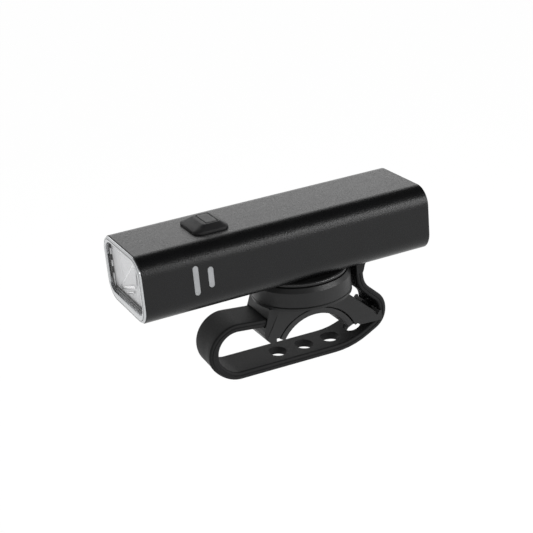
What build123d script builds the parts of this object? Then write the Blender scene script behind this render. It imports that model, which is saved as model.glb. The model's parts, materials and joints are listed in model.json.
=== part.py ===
from build123d import *
import math
import os

os.makedirs("parts", exist_ok=True)

# Bike headlight on a strap mount. All lengths are in millimetres.
# The beam points along -Y, the width is along X and +Z is up.
# The origin is the middle of the handlebar that the saddle sits on.

LOW = (Align.CENTER, Align.CENTER, Align.MIN)
CORNER = (Align.MIN, Align.MIN, Align.MIN)

# overrun of every cut beyond the face that it leaves
overrun = 1.0

# height of the stack on the handlebar
bar_radius = 15.9
pad_clearance = 0.15
pad_thickness = 2.8
crown_web = 4.11
crown_thickness = 1.2
ring_height = 7.74
ring_radius = 20.06
ring_wall = 3.06
ring_wall_draft = 0.26
ring_shoulder = 0.9
foot_gap = 0.2
foot_flange_height = 1.62

# lamp body
body_length = 120.0
body_width = 39.45
body_middle_y = -11.67
body_top_radius = 7.16
body_bottom_radius = 7.72
body_wall = 1.43
body_edge_break = 0.3

# two cells side by side fill the width, and the nut plate under them adds to the height
nut_plate_thickness = 1.5
cell_side_gap = 0.02
cell_wall_gap = 0.075
cell_floor_gap = 0.1
cell_top_room = 3.7
cavity_width = body_width - 2 * body_wall
cavity_side_x = cavity_width / 2
cell_radius = (cavity_side_x - cell_side_gap - cell_wall_gap) / 2
cavity_height = nut_plate_thickness + cell_floor_gap + 2 * cell_radius + cell_top_room
body_height = cavity_height + 2 * body_wall

pad_inner_radius = bar_radius + pad_clearance
arch_radius = pad_inner_radius + pad_thickness
crown_low_z = arch_radius + crown_web
crown_height = crown_low_z + crown_thickness
body_bottom_z = crown_height + ring_height + foot_gap + foot_flange_height
body_top_z = body_bottom_z + body_height
body_axis_z = (body_bottom_z + body_top_z) / 2
body_front_y = body_middle_y - body_length / 2
body_rear_y = body_middle_y + body_length / 2

cavity_bottom_z = body_bottom_z + body_wall
cavity_top_z = body_top_z - body_wall
cavity_top_radius = body_top_radius - body_wall
cavity_bottom_radius = body_bottom_radius - body_wall


def box(x0, x1, y0, y1, z0, z1):
    return Pos(x0, y0, z0) * Box(x1 - x0, y1 - y0, z1 - z0, align=CORNER)


def disc(radius, z0, z1, x=0, y=0):
    return Pos(x, y, z0) * Cylinder(radius, z1 - z0, align=LOW)


def cone(radius0, radius1, z0, z1):
    return Pos(0, 0, z0) * Cone(radius0, radius1, z1 - z0, align=LOW)


def along_y(sketch, y0, y1, x=0, z=0):
    plane = Plane(origin=(x, y1, z), x_dir=(1, 0, 0), z_dir=(0, -1, 0))
    return extrude(plane * sketch, amount=y1 - y0)


def along_x(sketch, x0, x1):
    plane = Plane(origin=(x0, 0, 0), x_dir=(0, 1, 0), z_dir=(1, 0, 0))
    return extrude(plane * sketch, amount=x1 - x0)


def along_z(sketch, z0, z1, x=0, y=0):
    return extrude(Pos(x, y, z0) * sketch, amount=z1 - z0)


def taper_y(sketch0, y0, sketch1, y1, x=0, z=0):
    plane0 = Plane(origin=(x, y0, z), x_dir=(1, 0, 0), z_dir=(0, -1, 0))
    plane1 = Plane(origin=(x, y1, z), x_dir=(1, 0, 0), z_dir=(0, -1, 0))
    return loft([(plane0 * sketch0).faces()[0], (plane1 * sketch1).faces()[0]], ruled=True)


def taper_z(sketch0, z0, y0, sketch1, z1, y1):
    return loft([(Pos(0, y0, z0) * sketch0).faces()[0], (Pos(0, y1, z1) * sketch1).faces()[0]], ruled=True)


def bore_y(radius, y0, y1, x, z):
    return along_y(Circle(radius), y0, y1, x, z)


def bore_x(radius, x0, x1, y, z):
    return along_x(Pos(y, z) * Circle(radius), x0, x1)


def body_outline(inset):
    # the body's rounded section, smaller by the inset all round
    sketch = Rectangle(body_width - 2 * inset, body_height - 2 * inset)
    sketch = fillet(sketch.vertices().sort_by(Axis.Y)[-2:], body_top_radius - inset)
    return fillet(sketch.vertices().sort_by(Axis.Y)[:2], body_bottom_radius - inset)


def in_body(inset, y0, y1):
    return along_y(body_outline(inset), y0, y1, 0, body_axis_z)


def one(*shapes):
    # fuses shapes to a single clean solid
    total = shapes[0]
    for shape in shapes[1:]:
        total = total + shape
    return total


def save(name, *shapes):
    solids = []
    for shape in shapes:
        solids.extend(shape.solids())
    whole = solids[0] if len(solids) == 1 else Compound(children=solids)
    whole.label = name
    export_step(whole, "parts/" + name + ".step")
    print(name, len(solids), "solid(s), volume", round(sum(s.volume for s in solids), 2))


# side window slots: (distance from the body's front, middle height, length, width)
long_slot_y = 20.6
short_slot_y = 26.42
slot_width = 2.35
slot_overlap = 0.22
slot_step = 3.4
slot_lift = 0.28
side_flat_low_z = body_bottom_z + body_bottom_radius
side_flat_high_z = body_top_z - body_top_radius
slot_z = (side_flat_low_z + side_flat_high_z) / 2 + slot_lift
long_slot_height = side_flat_high_z - side_flat_low_z + slot_overlap
short_slot_height = long_slot_height - slot_step

slots = [
    (body_front_y + long_slot_y, long_slot_height),
    (body_front_y + short_slot_y, short_slot_height),
]


def slot_sketch(y, height, inset):
    # an upright slot with round ends, drawn in the plane of the side wall
    return Pos(y, slot_z) * SlotOverall(height - 2 * inset, slot_width - 2 * inset, rotation=90)


# button on the top face
button_distance = 33.47
button_y = body_front_y + button_distance
button_skirt_length = 14.8
button_skirt_width = 18.6
button_skirt_radius = 3.0
button_skirt_height = 0.6
button_rise = 2.0
button_plateau_width = 12.0
button_plateau_length = 7.1
button_plateau_radius = 1.2
button_plateau_shift = 0.95
button_neck_width = 15.4
button_neck_length = 11.6
button_neck_radius = 2.0
button_neck_clearance = 0.1
button_flange_overlap = 1.0
button_flange_thickness = 1.2
key_width = 10.0
key_length = 4.6
key_radius = 0.5
key_gap = 0.2
cap_shift = 1.4
cap_proud = 0.07
cap_flange = 1.0
cap_flange_thickness = 0.8
cap_flange_play = 0.05
button_travel = 0.5

skirt_top_z = body_top_z + button_skirt_height
plateau_z = skirt_top_z + button_rise
boot_flange_bottom_z = cavity_top_z - button_flange_thickness
cap_y = button_y + cap_shift
cap_flange_top_z = boot_flange_bottom_z - cap_flange_play
cap_flange_bottom_z = cap_flange_top_z - cap_flange_thickness

# lamp foot: flange, hub and two bayonet lugs
foot_flange_inset = 0.3
foot_flange_break = 0.4
ring_floor_height = 2.04
hub_floor_gap = 0.4
lug_reach = 3.2
lug_height = 2.4
ring_lug_clearance = 0.8
hub_wall = 5.4
lug_floor_gap = 0.1
lug_angle = 54.0
boss_proud = 0.1
washer_thickness = 1.0
washer_room = 0.6
pivot_head_height = 2.0
pivot_head_room = 1.7
foot_screw_radius = 1.0
foot_screw_hole_clearance = 0.1
foot_screw_head_radius = 1.9
foot_screw_head_height = 1.7
foot_screw_head_clearance = 0.2
foot_screw_head_recess = 0.3
foot_screw_count = 4
foot_screw_start_angle = 45.0
screw_drive_share = 0.5
screw_drive_depth_share = 0.55
nut_plate_length = 26.0
nut_plate_clearance = 0.05

ring_top_wall_radius = ring_radius - ring_wall_draft
ring_shoulder_radius = ring_top_wall_radius - ring_shoulder
ring_cavity_radius = ring_radius - ring_wall
lug_radius = ring_cavity_radius - ring_lug_clearance
foot_hub_radius = lug_radius - lug_reach
foot_flange_radius = ring_shoulder_radius - foot_flange_inset
foot_flange_bottom_z = body_bottom_z - foot_flange_height
ring_floor_z = crown_height + ring_floor_height
foot_hub_bottom_z = ring_floor_z + hub_floor_gap
foot_hollow_radius = foot_hub_radius - hub_wall
washer_radius = foot_hollow_radius - washer_room
foot_screw_circle = (foot_hub_radius + foot_hollow_radius) / 2
boss_top_z = ring_floor_z + boss_proud
washer_top_z = boss_top_z + washer_thickness
foot_hollow_top_z = washer_top_z + pivot_head_height + pivot_head_room
flat_floor_width = cavity_width - 2 * cavity_bottom_radius
nut_plate_width = flat_floor_width
nut_plate_top_z = cavity_bottom_z + nut_plate_thickness


def ring_points(radius, count, start):
    step = 360.0 / count
    return [
        (radius * math.cos(math.radians(start + step * i)), radius * math.sin(math.radians(start + step * i)))
        for i in range(count)
    ]


def sector(inner, outer, middle_angle, angle, z0, z1):
    # a piece of a flat ring, angles in degrees from +X
    start = middle_angle - angle / 2
    reach = outer + inner + overrun
    steps = 6
    points = [(0, 0)]
    for i in range(steps + 1):
        a = math.radians(start + angle * i / steps)
        points.append((reach * math.cos(a), reach * math.sin(a)))
    wedge = along_z(make_face(Polyline(*points, close=True)), z0, z1)
    return (disc(outer, z0, z1) - disc(inner, z0 - overrun, z1 + overrun)) & wedge


def screw_down(radius, head_radius, head_height, x, y, head_z, tip_z):
    # a screw with its head below and its tip above, with a hex recess in the head
    screw = disc(head_radius, head_z, head_z + head_height, x, y) + disc(radius, head_z, tip_z, x, y)
    depth = head_height * screw_drive_depth_share
    recess = along_z(RegularPolygon(head_radius * screw_drive_share, 6), head_z - overrun, head_z + depth, x, y)
    return screw - recess


# housing
foot_screw_places = ring_points(foot_screw_circle, foot_screw_count, foot_screw_start_angle)
foot_screw_hole_radius = foot_screw_radius + foot_screw_hole_clearance

housing = in_body(0, body_front_y, body_rear_y)
housing = housing - in_body(body_wall, body_front_y - overrun, body_rear_y + overrun)
end_edges = housing.edges().group_by(Axis.Y)
housing = chamfer(end_edges[0] + end_edges[-1], body_edge_break)
for slot_y, slot_height in slots:
    cut = slot_sketch(slot_y, slot_height, 0)
    housing = housing - along_x(cut, cavity_side_x - overrun, body_width / 2 + overrun)
    housing = housing - along_x(cut, -body_width / 2 - overrun, -cavity_side_x + overrun)
housing = housing - along_z(
    RectangleRounded(button_neck_width, button_neck_length, button_neck_radius),
    cavity_top_z - overrun,
    body_top_z + overrun,
    0,
    button_y,
)
for x, y in foot_screw_places:
    housing = housing - disc(foot_screw_hole_radius, body_bottom_z - overrun, cavity_bottom_z + overrun, x, y)
save("lamp_housing", housing)

# front lens, its gasket, reflector, LED board and heat sink, one behind the other
lens_gap = 0.12
lens_proud = 0.8
lens_thickness = 2.4
lens_bevel_width = 1.5
lens_bevel_depth = 0.55
lens_flange_inset = 0.3
lens_flange_gap = 0.05
lens_rib_count = 5
lens_rib_low_height = 3.9
lens_rib_pitch = 0.78
lens_rib_depth = 0.4
lens_rib_width = 0.5
lens_rib_reach = 14.0
gasket_thickness = 1.0
gasket_gap = 0.1
gasket_lip = 1.5

lens_rib_low_z = body_bottom_z + lens_rib_low_height
lens_front_y = body_front_y - lens_proud
lens_back_y = lens_front_y + lens_thickness
gasket_back_y = lens_back_y + gasket_thickness
lens_inset = body_wall + lens_gap

# the window's flange lies on the front end of the housing, its plug inside
lens_flange_rear_y = body_front_y - lens_flange_gap
lens = in_body(lens_inset, lens_flange_rear_y, lens_back_y)
lens = lens + in_body(lens_flange_inset, lens_front_y + lens_bevel_depth, lens_flange_rear_y)
lens = lens + taper_y(
    body_outline(lens_flange_inset + lens_bevel_width),
    lens_front_y,
    body_outline(lens_flange_inset),
    lens_front_y + lens_bevel_depth,
    0,
    body_axis_z,
)
for i in range(lens_rib_count):
    z = lens_rib_low_z + i * lens_rib_pitch
    lens = lens - box(
        -lens_rib_reach,
        lens_rib_reach,
        lens_back_y - lens_rib_depth,
        lens_back_y + overrun,
        z,
        z + lens_rib_width,
    )
save("front_lens", lens)

gasket = in_body(body_wall + gasket_gap, lens_back_y, gasket_back_y)
gasket = gasket - in_body(body_wall + gasket_gap + gasket_lip, lens_back_y - overrun, gasket_back_y + overrun)
save("lens_gasket", gasket)

reflector_depth = 13.6
reflector_gap = 0.2
cup_divider = 1.0
cup_side_wall = 1.095
cup_top_wall = 1.65
cup_radius = 4.2
cup_floor_width = 6.4
cup_floor_radius = 1.2
reflector_rear_y = gasket_back_y + reflector_depth
cup_width = cavity_side_x - reflector_gap - cup_side_wall - cup_divider / 2
cup_middle_x = (cup_divider + cup_width) / 2
cup_height = cavity_height - 2 * cup_top_wall

reflector = in_body(body_wall + reflector_gap, gasket_back_y, reflector_rear_y)
for side in (-1, 1):
    reflector = reflector - taper_y(
        RectangleRounded(cup_width, cup_height, cup_radius),
        gasket_back_y,
        RectangleRounded(cup_floor_width, cup_floor_width, cup_floor_radius),
        reflector_rear_y,
        side * cup_middle_x,
        body_axis_z,
    )
save("reflector", reflector)

led_board_thickness = 1.5
led_board_gap = 0.6
led_width = 5.0
led_thickness = 1.0
led_dome_radius = 2.1
led_board_rear_y = reflector_rear_y + led_board_thickness
lead_notch_width = 5.0
lead_notch_height = 3.0

led_board = in_body(body_wall + led_board_gap, reflector_rear_y, led_board_rear_y)
save("led_board", led_board)

emitters = []
for side in (-1, 1):
    x = side * cup_middle_x
    half = led_width / 2
    package = box(
        x - half, x + half, reflector_rear_y - led_thickness, reflector_rear_y, body_axis_z - half, body_axis_z + half
    )
    dome = Pos(x, reflector_rear_y - led_thickness, body_axis_z) * Sphere(led_dome_radius)
    behind = box(
        x - half, x + half, reflector_rear_y - led_thickness, reflector_rear_y + half, body_axis_z - half, body_axis_z + half
    )
    emitters.append(one(package, dome - behind))
save("led_emitters", *emitters)

heat_sink_length = 7.1
heat_sink_width = flat_floor_width
heat_sink_arm_inset = 1.0
heat_sink_rear_y = led_board_rear_y + heat_sink_length

# the heat sink's arms carry the side boards, which face the plates of the side windows
guide_wall_gap = 0.2
guide_plate_thickness = 1.6
side_board_thickness = 0.8
side_led_thickness = 0.795
side_led_gap = 0.3
guide_outer_x = cavity_side_x - guide_wall_gap
guide_inner_x = guide_outer_x - guide_plate_thickness
guide_slot_margin = 0.45
guide_plate_height = long_slot_height + 2 * guide_slot_margin
heat_sink_arm_height = guide_plate_height - 2 * heat_sink_arm_inset
heat_sink_arm_reach = guide_inner_x - side_led_gap - side_led_thickness - side_board_thickness

heat_sink = one(
    box(-heat_sink_width / 2, heat_sink_width / 2, led_board_rear_y, heat_sink_rear_y, cavity_bottom_z, cavity_top_z),
    box(
        -heat_sink_arm_reach,
        heat_sink_arm_reach,
        led_board_rear_y,
        heat_sink_rear_y,
        slot_z - heat_sink_arm_height / 2,
        slot_z + heat_sink_arm_height / 2,
    ),
)
heat_sink = heat_sink - box(
    -lead_notch_width / 2,
    lead_notch_width / 2,
    led_board_rear_y - overrun,
    heat_sink_rear_y + overrun,
    cavity_top_z - lead_notch_height,
    cavity_top_z + overrun,
)
save("heat_sink", heat_sink)

# side windows: a plate inside the wall, with a tongue in each slot
guide_margin = 1.6
guide_tongue_clearance = 0.08
guide_recess = 0.15
guide_front_y = slots[0][0] - slot_width / 2 - guide_margin
guide_rear_y = slots[1][0] + slot_width / 2 + guide_margin

side_led_width = 1.8
side_led_height = 3.2
side_board_inset = 0.1
side_board_height = heat_sink_arm_height - 2 * side_board_inset


def mirror_x(shape):
    return mirror(shape, about=Plane.YZ)


guide = box(
    guide_inner_x,
    guide_outer_x,
    guide_front_y,
    guide_rear_y,
    slot_z - guide_plate_height / 2,
    slot_z + guide_plate_height / 2,
)
for slot_y, slot_height in slots:
    tongue = along_x(
        slot_sketch(slot_y, slot_height, guide_tongue_clearance), guide_inner_x, body_width / 2 - guide_recess
    )
    guide = guide + tongue
save("side_light_guide_right", guide)
save("side_light_guide_left", mirror_x(guide))

side_board = box(
    heat_sink_arm_reach,
    heat_sink_arm_reach + side_board_thickness,
    guide_front_y,
    guide_rear_y,
    slot_z - side_board_height / 2,
    slot_z + side_board_height / 2,
)
save("side_led_boards", side_board, mirror_x(side_board))

side_leds = []
for slot_y, slot_height in slots:
    led = box(
        heat_sink_arm_reach + side_board_thickness,
        guide_inner_x - side_led_gap,
        slot_y - side_led_width / 2,
        slot_y + side_led_width / 2,
        slot_z - side_led_height / 2,
        slot_z + side_led_height / 2,
    )
    side_leds.extend([led, mirror_x(led)])
save("side_leds", *side_leds)

# button: rubber surround, pressed cap, switch and plunger
neck_width = button_neck_width - 2 * button_neck_clearance
neck_length = button_neck_length - 2 * button_neck_clearance
boot = along_z(
    RectangleRounded(button_skirt_width, button_skirt_length, button_skirt_radius), body_top_z, skirt_top_z, 0, button_y
)
boot = boot + taper_z(
    RectangleRounded(button_skirt_width, button_skirt_length, button_skirt_radius),
    skirt_top_z,
    button_y,
    RectangleRounded(button_plateau_width, button_plateau_length, button_plateau_radius),
    plateau_z,
    button_y + button_plateau_shift,
)
boot = boot + along_z(
    RectangleRounded(neck_width, neck_length, button_neck_radius), boot_flange_bottom_z, body_top_z, 0, button_y
)
boot = boot + along_z(
    RectangleRounded(
        button_neck_width + 2 * button_flange_overlap, button_neck_length + 2 * button_flange_overlap, button_neck_radius
    ),
    boot_flange_bottom_z,
    cavity_top_z,
    0,
    button_y,
)
boot = boot - along_z(
    RectangleRounded(key_width + 2 * key_gap, key_length + 2 * key_gap, key_radius),
    boot_flange_bottom_z - overrun,
    plateau_z + overrun,
    0,
    cap_y,
)
save("button_boot", boot)

cap = along_z(
    RectangleRounded(key_width, key_length, key_radius), cap_flange_bottom_z, plateau_z + cap_proud, 0, cap_y
)
cap = cap + along_z(
    RectangleRounded(key_width + 2 * cap_flange, key_length + 2 * cap_flange, key_radius),
    cap_flange_bottom_z,
    cap_flange_top_z,
    0,
    cap_y,
)
save("button_cap", cap)

plunger_radius = 1.6
plunger_length = 2.6
plunger_clearance = 0.1
switch_width = 6.0
switch_height = 3.0
switch_gap = 1.6
switch_bore_spare = 0.2
switch_top_z = cap_flange_bottom_z - switch_gap
switch_bottom_z = switch_top_z - switch_height
plunger_bottom_z = cap_flange_bottom_z - plunger_length

save("switch_plunger", disc(plunger_radius, plunger_bottom_z, cap_flange_bottom_z, 0, cap_y))

switch = box(
    -switch_width / 2,
    switch_width / 2,
    cap_y - switch_width / 2,
    cap_y + switch_width / 2,
    switch_bottom_z,
    switch_top_z,
)
switch = switch - disc(
    plunger_radius + plunger_clearance,
    plunger_bottom_z - button_travel - switch_bore_spare,
    switch_top_z + overrun,
    0,
    cap_y,
)
save("tact_switch", switch)

# control board under the switch, on two arms of the battery cradle
board_thickness = 1.0
board_side_gap = 0.4
board_tail = 8.73
board_front_gap = 0.6
cradle_arm_width = 3.0
cradle_arm_height = 2.5
cradle_front_gap = 0.2
board_screw_radius = 1.0
board_screw_head_radius = 1.9
board_screw_head_height = 1.2
board_screw_inset = 2.5
board_hole_clearance = 0.1
board_half_width = heat_sink_arm_reach - board_side_gap
board_top_z = switch_bottom_z
board_bottom_z = board_top_z - board_thickness
board_front_y = heat_sink_rear_y + board_front_gap
board_rear_y = button_y + board_tail
board_screw_x = board_half_width - cradle_arm_width / 2
board_screw_y = board_front_y + board_screw_inset

board = box(-board_half_width, board_half_width, board_front_y, board_rear_y, board_bottom_z, board_top_z)
for side in (-1, 1):
    board = board - disc(
        board_screw_radius + board_hole_clearance,
        board_bottom_z - overrun,
        board_top_z + overrun,
        side * board_screw_x,
        board_screw_y,
    )
save("control_board", board)

inductor_width = 8.0
inductor_height = 4.5
inductor_gap = 2.6
capacitor_radius = 2.4
capacitor_height = 5.4
capacitor_x = 5.0
capacitor_spread = 6.2
chip_width = 4.0
chip_height = 0.9
chip_inset = 5.2
chip_x = board_half_width - chip_inset
inductor_x = cradle_arm_width + inductor_gap + inductor_width / 2 - board_half_width
board_middle_y = (board_front_y + board_rear_y) / 2

inductor = box(
    inductor_x - inductor_width / 2,
    inductor_x + inductor_width / 2,
    board_middle_y - inductor_width / 2,
    board_middle_y + inductor_width / 2,
    board_bottom_z - inductor_height,
    board_bottom_z,
)
parts_on_board = [inductor]
for step in (-0.5, 0.5):
    parts_on_board.append(
        disc(
            capacitor_radius,
            board_bottom_z - capacitor_height,
            board_bottom_z,
            capacitor_x,
            board_middle_y + step * capacitor_spread,
        )
    )
for side in (-1, 1):
    parts_on_board.append(
        box(
            side * chip_x - chip_width / 2,
            side * chip_x + chip_width / 2,
            board_middle_y - chip_width / 2,
            board_middle_y + chip_width / 2,
            board_top_z,
            board_top_z + chip_height,
        )
    )
save("driver_parts", *parts_on_board)

# two cells side by side, held between the cradle's end plates
cell_nub_radius = 3.2
cell_nub_height = 0.6
cell_edge = 0.6
cap_recess = 0.2
cap_length = 5.4
cap_boss_length = 2.6
tab_thickness = 0.3
tab_reach = 13.0
tab_half_height = 3.5
plate_thickness = 1.8
cradle_gap = 0.2
plate_window_lip = 3.1
spine_half_width = 3.6
spine_height = 3.4
contact_gap = 0.1

cell_x = cell_radius + cell_side_gap
plate_window_radius = cell_radius - plate_window_lip
cell_z = nut_plate_top_z + cell_floor_gap + cell_radius
front_plate_front_y = board_rear_y + cradle_front_gap
front_plate_rear_y = front_plate_front_y + plate_thickness
cell_front_y = front_plate_rear_y + tab_thickness
cap_rear_y = body_rear_y - cap_recess
cap_front_y = cap_rear_y - cap_length
rear_plate_rear_y = cap_front_y - cap_boss_length
rear_plate_front_y = rear_plate_rear_y - plate_thickness
cell_nub_y = rear_plate_front_y - tab_thickness
cell_rear_y = cell_nub_y - cell_nub_height


def cell(side):
    can = bore_y(cell_radius, cell_front_y, cell_rear_y, side * cell_x, cell_z)
    can = fillet(can.edges().filter_by(GeomType.CIRCLE), cell_edge)
    return can + bore_y(cell_nub_radius, cell_rear_y - cell_edge, cell_nub_y, side * cell_x, cell_z)


save("battery_cell_left", cell(-1))
save("battery_cell_right", cell(1))

# a flat ribbon runs over the cells, through a notch in each plate of the cradle
ribbon_half_width = 3.0
ribbon_thickness = 0.2
ribbon_top_gap = 0.35
ribbon_front_reach = 3.0
ribbon_notch_clearance = 0.2
ribbon_z = cell_z + cell_radius + ribbon_top_gap
ribbon_front_y = front_plate_front_y - ribbon_front_reach

tab_low_z = cell_z - tab_half_height
tab_high_z = cell_z + tab_half_height
save(
    "cell_tabs",
    box(-tab_reach, tab_reach, front_plate_rear_y, cell_front_y, tab_low_z, tab_high_z),
    box(-tab_reach, tab_reach, cell_nub_y, rear_plate_front_y, tab_low_z, tab_high_z),
)

cap_screw_inset = 3.695
cap_screw_x = cavity_side_x - cap_screw_inset
cap_screw_radius = 1.0
cap_screw_clearance = 0.1
cap_boss_radius = 2.5
cap_screw_z = body_axis_z

cradle_plate_front = in_body(body_wall + cradle_gap, front_plate_front_y, front_plate_rear_y)
cradle_plate_rear = in_body(body_wall + cradle_gap, rear_plate_front_y, rear_plate_rear_y)
for side in (-1, 1):
    window = bore_y(
        plate_window_radius,
        front_plate_front_y - overrun,
        front_plate_rear_y + overrun,
        side * cell_x,
        cell_z,
    )
    cradle_plate_front = cradle_plate_front - window
spine_low_z = nut_plate_top_z + cell_floor_gap
spine = along_y(
    make_face(
        Polyline((-spine_half_width, spine_low_z), (spine_half_width, spine_low_z), (0, spine_low_z + spine_height), close=True)
    ),
    front_plate_rear_y,
    rear_plate_front_y,
)
cradle = one(cradle_plate_front, spine, cradle_plate_rear)
cradle = cradle - box(
    -ribbon_half_width - ribbon_notch_clearance,
    ribbon_half_width + ribbon_notch_clearance,
    front_plate_front_y - overrun,
    rear_plate_rear_y + overrun,
    ribbon_z - ribbon_notch_clearance,
    cavity_top_z,
)
for side in (-1, 1):
    inner = side * (board_half_width - cradle_arm_width)
    outer = side * board_half_width
    cradle = cradle + box(
        min(inner, outer),
        max(inner, outer),
        heat_sink_rear_y,
        front_plate_front_y,
        board_bottom_z - cradle_arm_height,
        board_bottom_z,
    )
    cradle = cradle + bore_y(cap_boss_radius, rear_plate_rear_y, cap_front_y, side * cap_screw_x, cap_screw_z)
for side in (-1, 1):
    cradle = cradle - bore_y(
        cap_screw_radius, rear_plate_rear_y - contact_gap, cap_front_y + overrun, side * cap_screw_x, cap_screw_z
    )
    cradle = cradle - disc(
        board_screw_radius,
        board_bottom_z - cradle_arm_height - overrun,
        board_bottom_z + overrun,
        side * board_screw_x,
        board_screw_y,
    )
save("battery_cradle", cradle)

board_screws = []
for side in (-1, 1):
    screw = disc(
        board_screw_radius,
        board_bottom_z - cradle_arm_height,
        board_top_z + board_screw_head_height,
        side * board_screw_x,
        board_screw_y,
    )
    screw = screw + disc(
        board_screw_head_radius,
        board_top_z,
        board_top_z + board_screw_head_height,
        side * board_screw_x,
        board_screw_y,
    )
    board_screws.append(screw)
save("board_screws", *board_screws)

# rear cap with its seal, charging socket, cover and screws
cap_gap_inset = 0.15
seal_front = 1.0
seal_width = 1.6
seal_depth = 1.1
seal_clearance = 0.05
port_width = 9.0
port_height = 3.3
port_radius = 1.4
port_wall = 0.35
port_clearance = 0.15
port_recess = 1.2
port_z = cell_z
tongue_half_width = 3.2
tongue_half_height = 0.35
tongue_gap = 0.8
cover_width = 13.6
cover_height = 7.2
cover_thickness = 1.2
cover_radius = 1.5
cover_gap = 0.2
cover_plug_height = 0.6
cover_plug_share = 0.8
tether_height = 3.0
tether_width = 6.0
tether_root = 1.2
head_radius = 1.9
head_height = 1.3
head_clearance = 0.15
charge_board_thickness = 1.0
charge_board_gap = 0.5
charge_board_half_height = 7.5

charge_board_half_width = cap_screw_x - cap_boss_radius - charge_board_gap
pocket_floor_y = cap_rear_y - cover_thickness
port_rear_y = pocket_floor_y - contact_gap
port_front_y = rear_plate_rear_y + charge_board_thickness

rear_cap = in_body(body_wall + cap_gap_inset, cap_front_y, cap_rear_y)
groove = in_body(body_wall - overrun, cap_front_y + seal_front, cap_front_y + seal_front + seal_width)
groove = groove - in_body(
    body_wall + seal_depth, cap_front_y + seal_front - overrun, cap_front_y + seal_front + seal_width + overrun
)
rear_cap = rear_cap - groove
rear_cap = rear_cap - along_y(
    RectangleRounded(port_width + 2 * port_clearance, port_height + 2 * port_clearance, port_radius),
    cap_front_y - overrun,
    cap_rear_y,
    0,
    port_z,
)
pocket_low_z = port_z - cover_height / 2 - cover_gap
pocket_high_z = port_z + cover_height / 2 + cover_gap
pocket_mid_z = (pocket_low_z + pocket_high_z) / 2
rear_cap = rear_cap - along_y(
    RectangleRounded(cover_width + 2 * cover_gap, pocket_high_z - pocket_low_z, cover_radius),
    pocket_floor_y,
    cap_rear_y + overrun,
    0,
    pocket_mid_z,
)
tether_top_z = port_z - cover_height / 2 - cover_gap
tether_low_z = tether_top_z - tether_height
rear_cap = rear_cap - box(
    -tether_width / 2,
    tether_width / 2,
    pocket_floor_y - tether_root,
    cap_rear_y + overrun,
    tether_low_z,
    tether_top_z + overrun,
)
for side in (-1, 1):
    rear_cap = rear_cap - bore_y(
        cap_screw_radius + cap_screw_clearance,
        cap_front_y - overrun,
        cap_rear_y + overrun,
        side * cap_screw_x,
        cap_screw_z,
    )
    rear_cap = rear_cap - bore_y(
        head_radius + head_clearance,
        cap_rear_y - head_height,
        cap_rear_y + overrun,
        side * cap_screw_x,
        cap_screw_z,
    )
save("rear_cap", rear_cap)

seal = in_body(body_wall + seal_clearance, cap_front_y + seal_front, cap_front_y + seal_front + seal_width)
seal = seal - in_body(
    body_wall + seal_depth, cap_front_y + seal_front - overrun, cap_front_y + seal_front + seal_width + overrun
)
save("rear_seal", seal)

cap_screws = []
for side in (-1, 1):
    x = side * cap_screw_x
    screw = bore_y(head_radius, cap_rear_y - head_height, cap_rear_y, x, cap_screw_z)
    screw = screw + bore_y(cap_screw_radius, rear_plate_rear_y, cap_rear_y, x, cap_screw_z)
    recess = along_y(
        RegularPolygon(head_radius * screw_drive_share, 6),
        cap_rear_y - head_height * screw_drive_depth_share,
        cap_rear_y + overrun,
        x,
        cap_screw_z,
    )
    cap_screws.append(screw - recess)
save("rear_cap_screws", *cap_screws)

charge_board = box(
    -charge_board_half_width,
    charge_board_half_width,
    rear_plate_rear_y,
    port_front_y,
    port_z - charge_board_half_height,
    port_z + charge_board_half_height,
)
save("charge_board", charge_board)

shell = along_y(RectangleRounded(port_width, port_height, port_radius), port_front_y, port_rear_y, 0, port_z)
shell = shell - along_y(
    RectangleRounded(port_width - 2 * port_wall, port_height - 2 * port_wall, port_radius - port_wall),
    port_front_y + port_wall,
    port_rear_y + overrun,
    0,
    port_z,
)
shell = shell + box(
    -tongue_half_width,
    tongue_half_width,
    port_front_y,
    port_rear_y - tongue_gap,
    port_z - tongue_half_height,
    port_z + tongue_half_height,
)
save("usb_port", shell)

cover_low_z = port_z - cover_height / 2
cover_plate = along_y(
    RectangleRounded(cover_width, cover_height, cover_radius), pocket_floor_y, cap_rear_y, 0, port_z
)
save("usb_cover", cover_plate)
tether = box(
    -tether_width / 2,
    tether_width / 2,
    pocket_floor_y - tether_root,
    cap_rear_y,
    tether_low_z,
    tether_top_z,
)
save("cover_tether", tether)

# wiring: the ribbon over the cells, two battery leads and two LED leads
lead_radius = 0.6
lead_pitch = 1.6
battery_lead_reach = 1.5
battery_lead_inset = 2.08
battery_lead_x = board_half_width - cradle_arm_width - battery_lead_inset
led_lead_reach = 2.3
led_lead_lift = 1.0


def strip(y0, y1, z0, z1):
    return box(-ribbon_half_width, ribbon_half_width, y0, y1, z0, z1)


ribbon_flat = strip(ribbon_front_y, port_front_y + ribbon_thickness, ribbon_z, ribbon_z + ribbon_thickness)
ribbon_rear = strip(
    port_front_y,
    port_front_y + ribbon_thickness,
    port_z + port_height,
    ribbon_z + ribbon_thickness,
)
ribbon_front = strip(ribbon_front_y, ribbon_front_y + ribbon_thickness, board_top_z, ribbon_z + ribbon_thickness)
save("charge_ribbon", one(ribbon_flat, ribbon_rear, ribbon_front))


def lead(x, y0, y1, z_run, z_end):
    # a round wire that runs along Y from y0 to y1, then up or down to z_end
    run = bore_y(lead_radius, min(y0, y1), max(y0, y1), x, z_run)
    riser = disc(lead_radius, min(z_run, z_end), max(z_run, z_end), x, y1)
    return one(run, riser, Pos(x, y1, z_run) * Sphere(lead_radius))


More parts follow.
